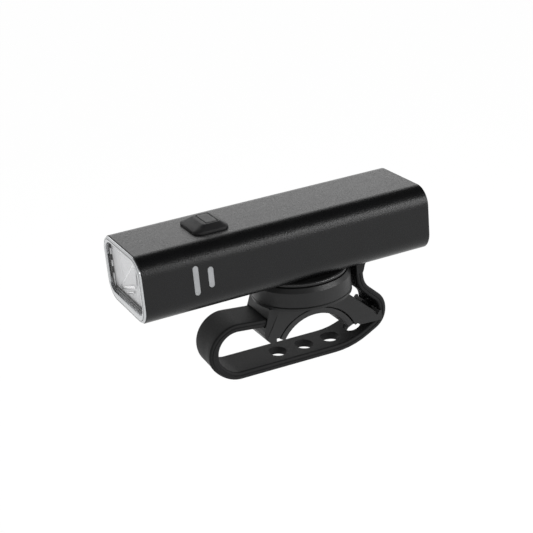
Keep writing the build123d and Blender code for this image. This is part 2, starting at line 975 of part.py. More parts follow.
save(
    "battery_leads",
    *[
        lead(side * battery_lead_x, front_plate_rear_y, front_plate_front_y - battery_lead_reach, cell_z, board_bottom_z)
        for side in (-1, 1)
    ],
)
save(
    "led_leads",
    *[
        lead(
            side * lead_pitch / 2,
            led_board_rear_y,
            board_front_y + led_lead_reach,
            cavity_top_z - lead_notch_height + led_lead_lift,
            board_top_z,
        )
        for side in (-1, 1)
    ],
)

# lamp foot with its screws and the nut plate inside the housing
foot = disc(foot_flange_radius, foot_flange_bottom_z, body_bottom_z)
foot = chamfer(foot.edges().filter_by(GeomType.CIRCLE), foot_flange_break)
foot = foot + disc(foot_hub_radius, foot_hub_bottom_z, foot_flange_bottom_z)
lug_bottom_z = foot_hub_bottom_z + lug_floor_gap
for angle in (-90, 90):
    foot = foot + sector(foot_hub_radius - overrun, lug_radius, angle, lug_angle, lug_bottom_z, lug_bottom_z + lug_height)
foot = foot - disc(foot_hollow_radius, foot_hub_bottom_z - overrun, foot_hollow_top_z)
foot_head_z = foot_hub_bottom_z + foot_screw_head_recess
foot_seat_z = foot_head_z + foot_screw_head_height
nut_plate = box(
    -nut_plate_width / 2,
    nut_plate_width / 2,
    -nut_plate_length / 2,
    nut_plate_length / 2,
    cavity_bottom_z,
    nut_plate_top_z,
)
foot_screws = []
for x, y in foot_screw_places:
    foot = foot - disc(
        foot_screw_head_radius + foot_screw_head_clearance, foot_hub_bottom_z - overrun, foot_seat_z, x, y
    )
    foot = foot - disc(foot_screw_hole_radius, foot_hub_bottom_z - overrun, body_bottom_z + overrun, x, y)
    nut_plate = nut_plate - disc(foot_screw_radius, cavity_bottom_z - overrun, nut_plate_top_z + overrun, x, y)
    foot_screws.append(
        screw_down(
            foot_screw_radius,
            foot_screw_head_radius,
            foot_screw_head_height,
            x,
            y,
            foot_head_z,
            nut_plate_top_z - nut_plate_clearance,
        )
    )
save("lamp_foot", foot)
save("foot_screws", *foot_screws)
save("foot_nut_plate", nut_plate)

# swivel ring: turns on the saddle's boss and takes the lamp foot's lugs from above
ring_edge_break = 0.3
ring_wall_height = 5.94
ring_lip_clearance = 0.3
ring_mouth_clearance = 0.3
ring_window_clearance = 0.4
ring_window_angle = 59.0
ring_post_angle = 33.0
ring_post_middle_angle = 46.0
boss_radius = 4.0
boss_clearance = 0.06
stop_pin_radius = 1.2
stop_pin_circle = 14.0
stop_pin_height = 1.25
stop_groove_depth = 1.4
stop_groove_clearance = 0.2
swivel_half_angle = 20.0
swivel_spare_angle = 6.2

ring_window_radius = lug_radius + ring_window_clearance
ring_mouth_radius = foot_hub_radius + ring_mouth_clearance
ring_lip_z = lug_bottom_z + lug_height + ring_lip_clearance
ring_wall_z = crown_height + ring_wall_height
ring_top_z = crown_height + ring_height

ring = one(
    cone(ring_radius - ring_edge_break, ring_radius, crown_height, crown_height + ring_edge_break),
    cone(ring_radius, ring_top_wall_radius, crown_height + ring_edge_break, ring_wall_z),
    cone(ring_top_wall_radius, ring_shoulder_radius, ring_wall_z, ring_top_z),
)
ring = ring - disc(boss_radius + boss_clearance, crown_height - overrun, ring_floor_z + overrun)
ring_cavity = disc(ring_cavity_radius, ring_floor_z, ring_lip_z)
for turn in (0, 180):
    ring_cavity = ring_cavity - sector(
        ring_mouth_radius, ring_cavity_radius + overrun, ring_post_middle_angle + turn, ring_post_angle, ring_floor_z, ring_lip_z
    )
ring = ring - ring_cavity
ring = ring - disc(ring_mouth_radius, ring_lip_z - contact_gap, ring_top_z + overrun)
for turn in (0, 180):
    ring = ring - sector(
        foot_hub_radius, ring_window_radius, turn, ring_window_angle, ring_lip_z - contact_gap, ring_top_z + overrun
    )
ring = ring - sector(
    stop_pin_circle - stop_pin_radius - stop_groove_clearance,
    stop_pin_circle + stop_pin_radius + stop_groove_clearance,
    90,
    2 * (swivel_half_angle + swivel_spare_angle),
    crown_height - overrun,
    crown_height + stop_groove_depth,
)
save("swivel_ring", ring)

# pivot: screw head and washer hold the ring down on the boss, the nut sits under the crown
pivot_radius = 2.0
pivot_clearance = 0.1
pivot_head_radius = 3.5
pivot_length = 7.1
nut_across_flats = 7.0
nut_height = 3.2
nut_side_clearance = 0.15
nut_thread_clearance = 0.02
nut_seat_depth = 1.86

nut_top_z = crown_height - nut_seat_depth
nut_low_z = nut_top_z - nut_height

save(
    "pivot_washer",
    disc(washer_radius, boss_top_z, washer_top_z)
    - disc(pivot_radius + pivot_clearance, boss_top_z - overrun, washer_top_z + overrun),
)
pivot = disc(pivot_head_radius, washer_top_z, washer_top_z + pivot_head_height) + disc(
    pivot_radius, washer_top_z - pivot_length, washer_top_z
)
pivot = pivot - along_z(
    RegularPolygon(pivot_head_radius * screw_drive_share, 6),
    washer_top_z + pivot_head_height * (1 - screw_drive_depth_share),
    washer_top_z + pivot_head_height + overrun,
)
save("pivot_screw", pivot)
nut = along_z(RegularPolygon(nut_across_flats / 2, 6, major_radius=False), nut_low_z, nut_top_z)
nut = nut - disc(pivot_radius + nut_thread_clearance, nut_low_z - overrun, nut_top_z + overrun)
save("pivot_nut", nut)

# strap: a flat rubber band along a bent middle line, as (y, z) corners with the radius at each
strap_half_width = 8.75
strap_thickness = 3.2
strap_bead_radius = 2.9
strap_edge_break = 0.4
strap_pin_radius = 1.25
strap_pin_clearance = 0.05
bead_web = 1.32
bead_angle = 132.54
strap_ring_gap = 0.34
strap_shoulder = 0.6
strap_lean = 1.2
strap_tip_gap = 1.32
strap_tip_rise = 0.3
# corners of the middle line, as shares of the arch's radius (y) and of the crown's height (z)
strap_corner_shares = [
    (-2.2812, 0.8667),
    (-2.2812, -0.0523),
    (0.8753, -0.1002),
    (1.6711, 0.2308),
    (1.6446, 0.5923),
]
shoulder_height_share = 0.9843
neck_height_share = 0.4703
bend_radius_shares = [0.4775, 0.504, 1.5915, 0.4032, 0.3714, 0.4244, 0.3183]
hook_corner_count = 3
split_before_corner = 5.35
split_gap = 0.3
hole_width = 8.4
hole_length = 7.0
hole_pitch = 11.8
hook_hole_distance = 6.55
open_hole_count = 4
grip_gap = 0.39
grip_thickness = 3.95
grip_lip_height = 1.5
grip_lip_step = 0.2
grip_foot_inset = 2.0

half_thickness = strap_thickness / 2
bead_distance = arch_radius + bead_web + strap_bead_radius
bead_y = bead_distance * math.cos(math.radians(bead_angle))
bead_z = bead_distance * math.sin(math.radians(bead_angle))
neck_y = ring_radius + strap_ring_gap + half_thickness
neck_z = crown_height + ring_height * neck_height_share
strap_tip = (neck_y + strap_lean, body_bottom_z - strap_tip_gap)
strap_top_z = strap_tip[1] + strap_tip_rise
grip_y = ring_radius + grip_gap
grip_points = [
    (grip_y, neck_z),
    (grip_y, strap_top_z),
    (grip_y + grip_thickness, strap_top_z),
    (grip_y + grip_thickness - grip_lip_step, strap_top_z - grip_lip_height),
    (grip_y + grip_thickness - grip_foot_inset, neck_z + grip_lip_step),
]


def unit(a, b):
    length = math.hypot(b[0] - a[0], b[1] - a[1])
    return ((b[0] - a[0]) / length, (b[1] - a[1]) / length)


def path_pieces(points, radii):
    # lines and tangent arcs along the corners: ("line", start, end) or ("arc", centre, radius, angle0, turn)
    pieces = []
    here = points[0]
    for i in range(1, len(points) - 1):
        before = unit(points[i - 1], points[i])
        after = unit(points[i], points[i + 1])
        turn = math.atan2(before[0] * after[1] - before[1] * after[0], before[0] * after[0] + before[1] * after[1])
        side = 1 if turn > 0 else -1
        radius = radii[i - 1]
        reach = radius * math.tan(abs(turn) / 2)
        start = (points[i][0] - before[0] * reach, points[i][1] - before[1] * reach)
        end = (points[i][0] + after[0] * reach, points[i][1] + after[1] * reach)
        centre = (start[0] - side * before[1] * radius, start[1] + side * before[0] * radius)
        angle0 = math.atan2(start[1] - centre[1], start[0] - centre[0])
        pieces.append(("line", here, start))
        pieces.append(("arc", centre, radius, angle0, turn))
        here = end
    pieces.append(("line", here, points[-1]))
    return pieces


def piece_length(piece):
    if piece[0] == "line":
        return math.hypot(piece[2][0] - piece[1][0], piece[2][1] - piece[1][1])
    return piece[2] * abs(piece[4])


def piece_point(piece, share, offset):
    # a point at a share of the piece's length, moved by the offset to the left of the way along
    if piece[0] == "line":
        way = unit(piece[1], piece[2])
        return (
            piece[1][0] + (piece[2][0] - piece[1][0]) * share - way[1] * offset,
            piece[1][1] + (piece[2][1] - piece[1][1]) * share + way[0] * offset,
        )
    side = 1 if piece[4] > 0 else -1
    radius = piece[2] - side * offset
    angle = piece[3] + piece[4] * share
    return (piece[1][0] + radius * math.cos(angle), piece[1][1] + radius * math.sin(angle))


def path_length(pieces):
    return sum(piece_length(piece) for piece in pieces)


def point_along(pieces, distance, offset):
    for piece in pieces:
        length = piece_length(piece)
        if distance <= length:
            return piece_point(piece, distance / length, offset)
        distance -= length
    return piece_point(pieces[-1], 1, offset)


def edge_of(piece, offset, backwards):
    start = piece_point(piece, 0, offset)
    end = piece_point(piece, 1, offset)
    if backwards:
        start, end = end, start
    if piece[0] == "line":
        return Line(start, end)
    return ThreePointArc(start, piece_point(piece, 1 / 2, offset), end)


def band(pieces, right, left, x0, x1):
    # a flat band along the pieces, from the offset on the right to the offset on the left
    edges = [edge_of(piece, -right, False) for piece in pieces]
    edges.append(Line(piece_point(pieces[-1], 1, -right), piece_point(pieces[-1], 1, left)))
    edges.extend(edge_of(piece, left, True) for piece in reversed(pieces))
    edges.append(Line(piece_point(pieces[0], 0, left), piece_point(pieces[0], 0, -right)))
    return along_x(make_face(edges), x0, x1)


corner_points = [(y * arch_radius, z * crown_low_z) for y, z in strap_corner_shares]
corner_points.append((neck_y + strap_shoulder, shoulder_height_share * crown_low_z))
corner_points.append((neck_y, neck_z))
corner_radii = [share * arch_radius for share in bend_radius_shares]
hook_way = unit(corner_points[hook_corner_count - 1], corner_points[hook_corner_count])


def before_hook(distance):
    corner = corner_points[hook_corner_count]
    return (corner[0] - hook_way[0] * distance, corner[1] - hook_way[1] * distance)


split_start = before_hook(split_before_corner + split_gap / 2)
split_end = before_hook(split_before_corner - split_gap / 2)
loop_path = path_pieces([(bead_y, bead_z)] + corner_points[:hook_corner_count] + [split_start], corner_radii[:hook_corner_count])
tail_path = path_pieces([split_end] + corner_points[hook_corner_count:] + [strap_tip], corner_radii[hook_corner_count:])
whole_path = path_pieces([(bead_y, bead_z)] + corner_points + [strap_tip], corner_radii)


def strap_hole(pieces, distance):
    # an oval hole square to the band at a distance along it
    inside = point_along(pieces, distance, half_thickness + overrun)
    outside = point_along(pieces, distance, -half_thickness - overrun)
    way = unit(inside, outside)
    plane = Plane(origin=(0, inside[0], inside[1]), x_dir=(1, 0, 0), z_dir=(0, way[0], way[1]))
    return extrude(plane * Ellipse(hole_width / 2, hole_length / 2), amount=strap_thickness + 2 * overrun)


def softened(strap, pieces):
    # the long outer corners of the band are broken, as on a moulded strap
    sides = strap.faces().sort_by(Axis.X)
    ends = [point_along(pieces, 0, 0), point_along(pieces, path_length(pieces), 0)]
    long_edges = []
    for edge in sides[0].edges() + sides[-1].edges():
        middle = edge.center()
        if all(math.hypot(middle.Y - y, middle.Z - z) > half_thickness / 2 for y, z in ends):
            long_edges.append(edge)
    return chamfer(long_edges, strap_edge_break)


strap_loop = softened(band(loop_path, half_thickness, half_thickness, -strap_half_width, strap_half_width), loop_path)
strap_loop = strap_loop + bore_x(strap_bead_radius, -strap_half_width, strap_half_width, bead_y, bead_z)
strap_loop = strap_loop - bore_x(
    strap_pin_radius + strap_pin_clearance, -strap_half_width - overrun, strap_half_width + overrun, bead_y, bead_z
)
loop_length = path_length(loop_path)
open_hole_distances = []
for i in range(open_hole_count):
    distance = loop_length + split_gap + hook_hole_distance - (i + 1) * hole_pitch
    open_hole_distances.append(distance)
    strap_loop = strap_loop - strap_hole(loop_path, distance)
    print("open hole", i, [round(v, 3) for v in point_along(loop_path, distance, 0)])
save("strap_loop", strap_loop)

strap_tail = softened(band(tail_path, half_thickness, half_thickness, -strap_half_width, strap_half_width), tail_path)
strap_tail = strap_tail + along_x(make_face(Polyline(*grip_points, close=True)), -strap_half_width, strap_half_width)
strap_tail = strap_tail - strap_hole(tail_path, hook_hole_distance)
save("strap_tail", strap_tail)

# saddle bracket: side outline as (y, z) corners, cut by the arch for the bar
cheek_clearance = 0.25
cheek_thickness = 1.0
pad_edge_inset = 0.1
flank_gap = 0.15
flank_start_share = 0.53
# side outline, as shares of the arch's radius (y) and of the crown's height (z)
bracket_outline_shares = [
    (-0.99, 1.0),
    (-1.0345, 0.8929),
    (-1.1565, 0.6272),
    (-1.1724, 0.5531),
    (-1.0769, 0.4181),
    (-1.0027, 0.3615),
    (-0.9125, 0.4094),
    (-0.9125, 0.4573),
    (-0.8117, 0.4573),
    (0.0, 0.0),
    (1.0027, 0.3049),
    (1.061, 0.2657),
    (1.5968, 0.2439),
    (1.5968, 0.4268),
    (1.5544, 0.4268),
    (1.5066, 0.3833),
    (1.4854, 0.4007),
    (0.8912, 0.8537),
    (0.7003, 1.0),
]
notch_corner_count = 7
pad_front_low_share = 0.3963
pad_rear_low_share = 0.2918
front_bevel_line_shares = ((-0.8382, 0.8798), (-1.1088, 0.4965))
front_bevel_reach = 3.8
front_bevel_depth = 0.7
rear_bevel = 0.8
slot_clearance = 0.3
pin_seat = 0.6
peg_half_width = 2.4
peg_height = 3.8
peg_reach = 3.0
peg_back = 0.6
peg_root = 1.6

crown_radius = ring_radius
cheek_inner_x = strap_half_width + cheek_clearance
bracket_half_width = cheek_inner_x + cheek_thickness
pin_half_length = cheek_inner_x + pin_seat
flank_start = arch_radius * flank_start_share
bracket_outline = [(y * arch_radius, z * crown_low_z) for y, z in bracket_outline_shares]
front_bevel_line = [(y * arch_radius, z * crown_low_z) for y, z in front_bevel_line_shares]
notch_front_y, notch_top_z = bracket_outline[notch_corner_count]
notch_rear_y = bracket_outline[notch_corner_count + 1][0]
pad_front_low_z = pad_front_low_share * crown_low_z
pad_rear_low_z = pad_rear_low_share * crown_low_z

bracket = along_x(make_face(Polyline(*bracket_outline, close=True)), -bracket_half_width, bracket_half_width)
slope_middle = (
    (bracket_outline[-3][0] + bracket_outline[-2][0]) / 2,
    (bracket_outline[-3][1] + bracket_outline[-2][1]) / 2,
)
near = rear_bevel / 2
slope_edges = [
    edge
    for edge in bracket.edges()
    if abs(edge.center().Y - slope_middle[0]) < near
    and abs(edge.center().Z - slope_middle[1]) < near
    and abs(edge.center().X) > bracket_half_width - near
]
bracket = chamfer(slope_edges, rear_bevel)

bevel_way = unit(front_bevel_line[0], front_bevel_line[1])
for side in (-1, 1):
    # the bevel's plane holds the line on the flank and lies deeper towards the front edge
    flank = side * bracket_half_width
    along_line = Vector(0, bevel_way[0], bevel_way[1])
    top = Vector(flank, front_bevel_line[0][0], front_bevel_line[0][1])
    inward = Vector(-side * front_bevel_depth, -front_bevel_reach, 0)
    normal = along_line.cross(inward)
    if normal.X * side < 0:
        normal = normal * -1
    plane = Plane(origin=top, x_dir=along_line, z_dir=normal)
    cut = plane * Box(body_height * 2, body_height * 2, body_height, align=LOW)
    bracket = bracket - (cut & box(-body_width, body_width, -body_width, front_bevel_line[0][0] + front_bevel_reach, 0, crown_height))

bracket = bracket - bore_x(arch_radius, -bracket_half_width - overrun, bracket_half_width + overrun, 0, 0)
flank_ring = bore_x(arch_radius + flank_gap, -bracket_half_width - overrun, bracket_half_width + overrun, 0, 0)
flank_ring = flank_ring - box(
    -bracket_half_width - 2 * overrun, bracket_half_width + 2 * overrun, -flank_start, flank_start, 0, crown_height
)
bracket = bracket - flank_ring
bracket = bracket - bore_x(strap_bead_radius + strap_pin_clearance * 2, -cheek_inner_x, cheek_inner_x, bead_y, bead_z)
strap_room = half_thickness + slot_clearance
bracket = bracket - band(whole_path, strap_room, strap_room, -cheek_inner_x, cheek_inner_x)
bracket = bracket - bore_x(strap_pin_radius, -pin_half_length, pin_half_length, bead_y, bead_z)

peg_distance = hook_hole_distance - peg_back
peg_start = point_along(tail_path, peg_distance, half_thickness + slot_clearance + peg_root)
peg_end = point_along(tail_path, peg_distance, half_thickness - peg_reach)
peg_way = unit(peg_start, peg_end)
peg_plane = Plane(origin=(0, peg_start[0], peg_start[1]), x_dir=(1, 0, 0), z_dir=(0, peg_way[0], peg_way[1]))
peg_length = math.hypot(peg_end[0] - peg_start[0], peg_end[1] - peg_start[1])
bracket = bracket + extrude(peg_plane * Rectangle(2 * peg_half_width, peg_height), amount=peg_length)

crown = disc(crown_radius, crown_low_z, crown_height)
crown = chamfer(crown.edges().filter_by(GeomType.CIRCLE).sort_by(Axis.Z)[-1], ring_edge_break)
bracket = bracket + crown
bracket = bracket + disc(boss_radius, crown_height, boss_top_z)
bracket = bracket + disc(stop_pin_radius, crown_height, crown_height + stop_pin_height, 0, stop_pin_circle)
bracket = bracket - disc(pivot_radius + pivot_clearance, 0, boss_top_z + overrun)
bracket = bracket - along_z(
    RegularPolygon(nut_across_flats / 2 + nut_side_clearance, 6, major_radius=False), 0, nut_top_z
)
save("saddle_bracket", bracket)
save("strap_pin", bore_x(strap_pin_radius, -pin_half_length, pin_half_length, bead_y, bead_z))

# saddle pad: rubber liner of the arch
pad_half_width = bracket_half_width - pad_edge_inset
pad = bore_x(arch_radius, -pad_half_width, pad_half_width, 0, 0)
pad = pad - bore_x(pad_inner_radius, -pad_half_width - overrun, pad_half_width + overrun, 0, 0)
pad = pad - box(-body_width, body_width, -body_width, 0, -body_width, pad_front_low_z)
pad = pad - box(-body_width, body_width, 0, body_width, -body_width, pad_rear_low_z)
pad = pad - box(-body_width, body_width, notch_front_y, notch_rear_y, 0, notch_top_z)
save("saddle_pad", pad)
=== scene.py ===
# Looks of the bike headlight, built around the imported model. The beam goes along -Y and +Z is up.
# Shapes are drawn in millimetres and scaled as they become pieces. Camera, floor and lights are in metres.
import json
import math

import bmesh
import bpy
from mathutils import Matrix, Vector


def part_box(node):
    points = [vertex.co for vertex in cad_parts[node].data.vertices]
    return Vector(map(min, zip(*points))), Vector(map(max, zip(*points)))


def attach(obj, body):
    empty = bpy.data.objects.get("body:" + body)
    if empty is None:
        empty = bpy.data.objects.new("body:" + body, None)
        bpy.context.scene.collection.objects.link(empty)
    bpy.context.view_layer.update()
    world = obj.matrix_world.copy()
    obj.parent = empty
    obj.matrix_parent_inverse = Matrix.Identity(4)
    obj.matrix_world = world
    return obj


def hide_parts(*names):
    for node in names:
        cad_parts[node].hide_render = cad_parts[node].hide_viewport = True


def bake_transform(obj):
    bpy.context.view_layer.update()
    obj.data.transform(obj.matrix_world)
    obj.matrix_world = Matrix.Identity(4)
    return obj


MM = 0.001
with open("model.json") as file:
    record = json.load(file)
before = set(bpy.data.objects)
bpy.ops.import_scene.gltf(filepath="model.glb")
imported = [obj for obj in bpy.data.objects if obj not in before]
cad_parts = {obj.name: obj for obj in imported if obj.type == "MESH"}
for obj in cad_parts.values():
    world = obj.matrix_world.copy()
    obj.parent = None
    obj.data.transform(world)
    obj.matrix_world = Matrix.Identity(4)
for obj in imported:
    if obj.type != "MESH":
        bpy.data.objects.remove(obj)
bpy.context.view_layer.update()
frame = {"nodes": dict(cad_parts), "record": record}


# camera, fitted to the edges of the lamp and to the round collar
RIGHT = Vector((0.437874, 0.894793, -0.087243))
UP = Vector((-0.307064, 0.240055, 0.920915))
BACK = Vector((0.844972, -0.376456, 0.379873))
EYE = Vector((0.428494, -0.205142, 0.229640))
FOCAL_PIXELS = 1303.05
FRAME_PIXELS = 533
SENSOR = 36.0

camera_data = bpy.data.cameras.new("camera")
camera_data.sensor_width = SENSOR
camera_data.sensor_fit = "HORIZONTAL"
camera_data.lens = FOCAL_PIXELS * SENSOR / FRAME_PIXELS
camera_data.clip_start = 0.01
camera_data.clip_end = 20
camera = bpy.data.objects.new("camera", camera_data)
turn = Matrix((RIGHT, UP, BACK)).transposed().to_4x4()
camera.matrix_world = Matrix.Translation(EYE) @ turn
bpy.context.collection.objects.link(camera)
bpy.context.scene.camera = camera


# materials
NOISE_LOW, NOISE_HIGH = 0.3, 0.7
CLOUD_MM = 9
GLOSS_SPREAD = 0.06
BRUSH_MM = 0.3
BRUSH_DEPTH = 0.006
BRUSH_SPREAD = 0.07
CLEAR_CLOUD_MM = 14
RIPPLE_MM = 6
RIPPLE_DEPTH = 0.001

LOOKS = {}


class Nodes:
    """A look's node tree, with short ways to add and join nodes."""

    def __init__(self, name):
        self.material = bpy.data.materials.new(name)
        self.material.use_nodes = True
        self.tree = self.material.node_tree
        self.shader = self.tree.nodes["Principled BSDF"]
        self.output = self.tree.nodes["Material Output"]
        self.where = self.tree.nodes.new("ShaderNodeTexCoord").outputs["Object"]
        LOOKS[name] = self.material

    def add(self, kind, **settings):
        node = self.tree.nodes.new("ShaderNode" + kind)
        for key, value in settings.items():
            setattr(node, key, value)
        return node

    def join(self, source, target):
        self.tree.links.new(source, target)

    def noise(self, size_mm, detail=2.0, where=None):
        node = self.add("TexNoise")
        node.inputs["Scale"].default_value = 1 / (size_mm * MM)
        node.inputs["Detail"].default_value = detail
        self.join(where or self.where, node.inputs["Vector"])
        return node.outputs["Fac"]

    def stretch(self, scale):
        node = self.add("Mapping")
        node.inputs["Scale"].default_value = scale
        self.join(self.where, node.inputs["Vector"])
        return node.outputs["Vector"]

    def spread(self, noise, low, high):
        node = self.add("MapRange")
        node.inputs["From Min"].default_value = NOISE_LOW
        node.inputs["From Max"].default_value = NOISE_HIGH
        node.inputs["To Min"].default_value = low
        node.inputs["To Max"].default_value = high
        self.join(noise, node.inputs["Value"])
        return node.outputs["Result"]

    def colours(self, noise, dark, light):
        node = self.add("ValToRGB")
        for stop, position, colour in zip(node.color_ramp.elements, (NOISE_LOW, NOISE_HIGH), (dark, light)):
            stop.position = position
            stop.color = (*colour, 1)
        self.join(noise, node.inputs["Fac"])
        return node.outputs["Color"]

    def bump(self, noise, depth_mm):
        node = self.add("Bump")
        node.inputs["Strength"].default_value = 1
        node.inputs["Distance"].default_value = depth_mm * MM
        self.join(noise, node.inputs["Height"])
        return node.outputs["Normal"]

    def set(self, **values):
        for key, value in values.items():
            self.shader.inputs[key.replace("_", " ")].default_value = value

    def surface(self, tone, gloss, relief):
        """Feeds the shader's colour, roughness and normal."""
        for name, source in (("Base Color", tone), ("Roughness", gloss), ("Normal", relief)):
            self.join(source, self.shader.inputs[name])

    def mix_in(self, share, other):
        """Sends out the shader mixed with another node's, by a share."""
        mix = self.add("MixShader")
        self.join(share, mix.inputs["Fac"])
        self.join(self.shader.outputs[0], mix.inputs[1])
        self.join(other.outputs[0], mix.inputs[2])
        self.join(mix.outputs[0], self.output.inputs["Surface"])


def shade(colour, share):
    return tuple(min(1.0, part * share) for part in colour)


def moulded(name, colour, rough, grain_mm=0.35, grain_depth=0.02, mottle=0.12, **values):
    """Moulded plastic, rubber or coated metal: fine grain, uneven tone and gloss."""
    look = Nodes(name)
    look.set(**values)
    cloud = look.noise(CLOUD_MM, 3)
    grain = look.noise(grain_mm)
    look.surface(
        look.colours(cloud, shade(colour, 1 - mottle), shade(colour, 1 + mottle)),
        look.spread(grain, rough - GLOSS_SPREAD, rough + GLOSS_SPREAD),
        look.bump(grain, grain_depth),
    )


def metal(name, colour, rough, brush=(1, 1, 1)):
    """Bare metal with fine lines, which the brush stretches."""
    look = Nodes(name)
    look.set(Metallic=1.0)
    lines = look.noise(BRUSH_MM, where=look.stretch(brush))
    look.surface(
        look.colours(lines, shade(colour, 0.85), shade(colour, 1.1)),
        look.spread(lines, rough - BRUSH_SPREAD, rough + BRUSH_SPREAD),
        look.bump(lines, BRUSH_DEPTH),
    )


def clear(name, colour, rough, ior=1.49, lamps_pass=False):
    """Clear plastic, which can let the lamps' light straight through to what it covers."""
    look = Nodes(name)
    look.set(Transmission_Weight=1.0, IOR=ior)
    cloud = look.noise(CLEAR_CLOUD_MM)
    look.surface(
        look.colours(cloud, shade(colour, 0.97), colour),
        look.spread(cloud, rough, rough + 0.01),
        look.bump(look.noise(RIPPLE_MM, 1), RIPPLE_DEPTH),
    )
    if lamps_pass:
        look.mix_in(look.add("LightPath").outputs["Is Shadow Ray"], look.add("BsdfTransparent"))


# looks of the model's material slots, and of the flange's glossy edge, whose lighter colour is a painted
# highlight
moulded(
    "housing",
    (0.0045, 0.0047, 0.0051),
    0.31,
    grain_mm=0.45,
    grain_depth=0.07,
    Specular_IOR_Level=0.3,
)
clear("lens", (0.96, 0.965, 0.97), 0.02)
moulded("seal_rubber", (0.02, 0.02, 0.02), 0.6)
metal("reflector", (0.86, 0.87, 0.88), 0.2)
moulded("board", (0.03, 0.15, 0.08), 0.4)
moulded("led", (0.8, 0.68, 0.25), 0.3, grain_mm=0.1)
metal("bare_aluminium", (0.6, 0.61, 0.63), 0.35, brush=(1, 12, 12))
moulded("light_guide", (0.4, 0.41, 0.42), 0.4, grain_mm=0.5, grain_depth=0.06, mottle=0.08)
moulded("button_rubber", (0.016, 0.0162, 0.017), 0.5)
moulded("button_key", (0.018, 0.0182, 0.019), 0.45)
moulded("switch", (0.06, 0.06, 0.065), 0.5)
moulded("components", (0.05, 0.05, 0.055), 0.4)
metal("steel", (0.5, 0.51, 0.52), 0.3)
moulded("cell", (0.05, 0.2, 0.42), 0.35)
moulded("cradle", (0.08, 0.08, 0.085), 0.5)
moulded("ribbon", (0.5, 0.3, 0.08), 0.3)
moulded("lead_red", (0.4, 0.02, 0.02), 0.45)
moulded("mount_plastic", (0.0102, 0.0104, 0.0107), 0.42, grain_mm=0.4, Specular_IOR_Level=0.36)
# edge: a glossier copy of the mount plastic, whose lighter colour is a painted highlight
moulded("edge", (0.035, 0.035, 0.036), 0.25, Specular_IOR_Level=0.7)
moulded("cover_rubber", (0.016, 0.016, 0.0165), 0.6)
moulded("pad_rubber", (0.012, 0.012, 0.0125), 0.62)
moulded(
    "strap_rubber",
    (0.0095, 0.0097, 0.01),
    0.62,
    grain_mm=0.5,
    grain_depth=0.012,
    Specular_IOR_Level=0.22,
)

# looks of the parts at the front window
metal("bezel", (0.56, 0.57, 0.58), 0.22)
moulded("bezel_line", (0.12, 0.12, 0.125), 0.35)
clear("window", (0.98, 0.98, 0.985), 0.0, ior=1.06, lamps_pass=True)
moulded("optic", (0.9, 0.905, 0.91), 0.35, mottle=0.04)
moulded("optic_grey", (0.45, 0.45, 0.455), 0.3)
# bright metal for the reflector's ribs: a painted highlight where highlight strokes show on the plate
metal("optic_painted_highlight", (0.95, 0.95, 0.95), 0.25)
moulded("optic_dark", (0.025, 0.025, 0.026), 0.25, mottle=0.1)

node_slot = {part["node"]: part["material_slot"] for part in frame["record"]["subparts"]}
for name, piece in frame["nodes"].items():
    for slot in piece.material_slots:
        slot.material = LOOKS[node_slot[name]]


# places in the frame
def corners_of(node):
    """Lowest and highest corner of a node, in millimetres."""
    return [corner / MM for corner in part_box(node)]


def middle_of(node):
    low, high = corners_of(node)
    return (low + high) / 2


# mesh helpers
FLAT_FACE_WEIGHT = 90


def new_piece(name, bm, slot, sharp_angle=35, look=None):
    """Turns a bmesh in millimetres into a piece, smooth but for edges sharper than the angle."""
    bmesh.ops.recalc_face_normals(bm, faces=bm.faces)
    bmesh.ops.scale(bm, vec=(MM, MM, MM), verts=bm.verts)
    for face in bm.faces:
        face.smooth = True
    limit = math.radians(sharp_angle)
    for edge in bm.edges:
        edge.smooth = not (edge.is_manifold and edge.calc_face_angle(0) > limit)
    mesh = bpy.data.meshes.new(name)
    bm.to_mesh(mesh)
    bm.free()
    piece = bpy.data.objects.new(name, mesh)
    bpy.context.collection.objects.link(piece)
    mesh.materials.append(LOOKS[look or slot])
    return piece


def settle(piece):
    """Applies a piece's modifiers to its mesh, with its flat faces kept flat."""
    level_normals = piece.modifiers.new("level_normals", "WEIGHTED_NORMAL")
    level_normals.keep_sharp = True
    level_normals.weight = FLAT_FACE_WEIGHT
    bpy.context.view_layer.update()
    made = bpy.data.meshes.new_from_object(piece.evaluated_get(bpy.context.evaluated_depsgraph_get()))
    made.name = piece.name
    piece.modifiers.clear()
    old = piece.data
    piece.data = made
    bpy.data.meshes.remove(old)


def circle(count):
    """Points (right, up) once round a circle of radius 1."""
    angles = [2 * math.pi * i / count for i in range(count)]
    return [(math.cos(angle), math.sin(angle)) for angle in angles]


def rounded_rectangle(width, height, radius, steps=6):
    points = []
    for middle_x, middle_y, start in (
        (width / 2 - radius, height / 2 - radius, 0),
        (-width / 2 + radius, height / 2 - radius, 90),
        (-width / 2 + radius, -height / 2 + radius, 180),
        (width / 2 - radius, -height / 2 + radius, 270),
    ):
        for i in range(steps + 1):
            angle = math.radians(start + 90 * i / steps)
            points.append((middle_x + radius * math.cos(angle), middle_y + radius * math.sin(angle)))
    return points


def bridge(bm, row, next_row):
    """Quads once round between two rows of equally many vertices."""
    for i in range(len(row)):
        j = (i + 1) % len(row)
        bm.faces.new((row[i], row[j], next_row[j], next_row[i]))


def skin(bm, rings, caps=True):
    """Joins rings of equally many points, with a face over both ends where asked."""
    rows = [[bm.verts.new(point) for point in ring] for ring in rings]
    for row, next_row in zip(rows, rows[1:]):
        bridge(bm, row, next_row)
    if caps:
        bm.faces.new(rows[0])
        bm.faces.new(list(reversed(rows[-1])))


def skin_round(bm, rings):
    """Joins rings that go once round a rim's section and come back to the first."""
    rows = [[bm.verts.new(point) for point in ring] for ring in rings]
    for row, next_row in zip(rows, rows[1:] + rows[:1]):
        bridge(bm, row, next_row)


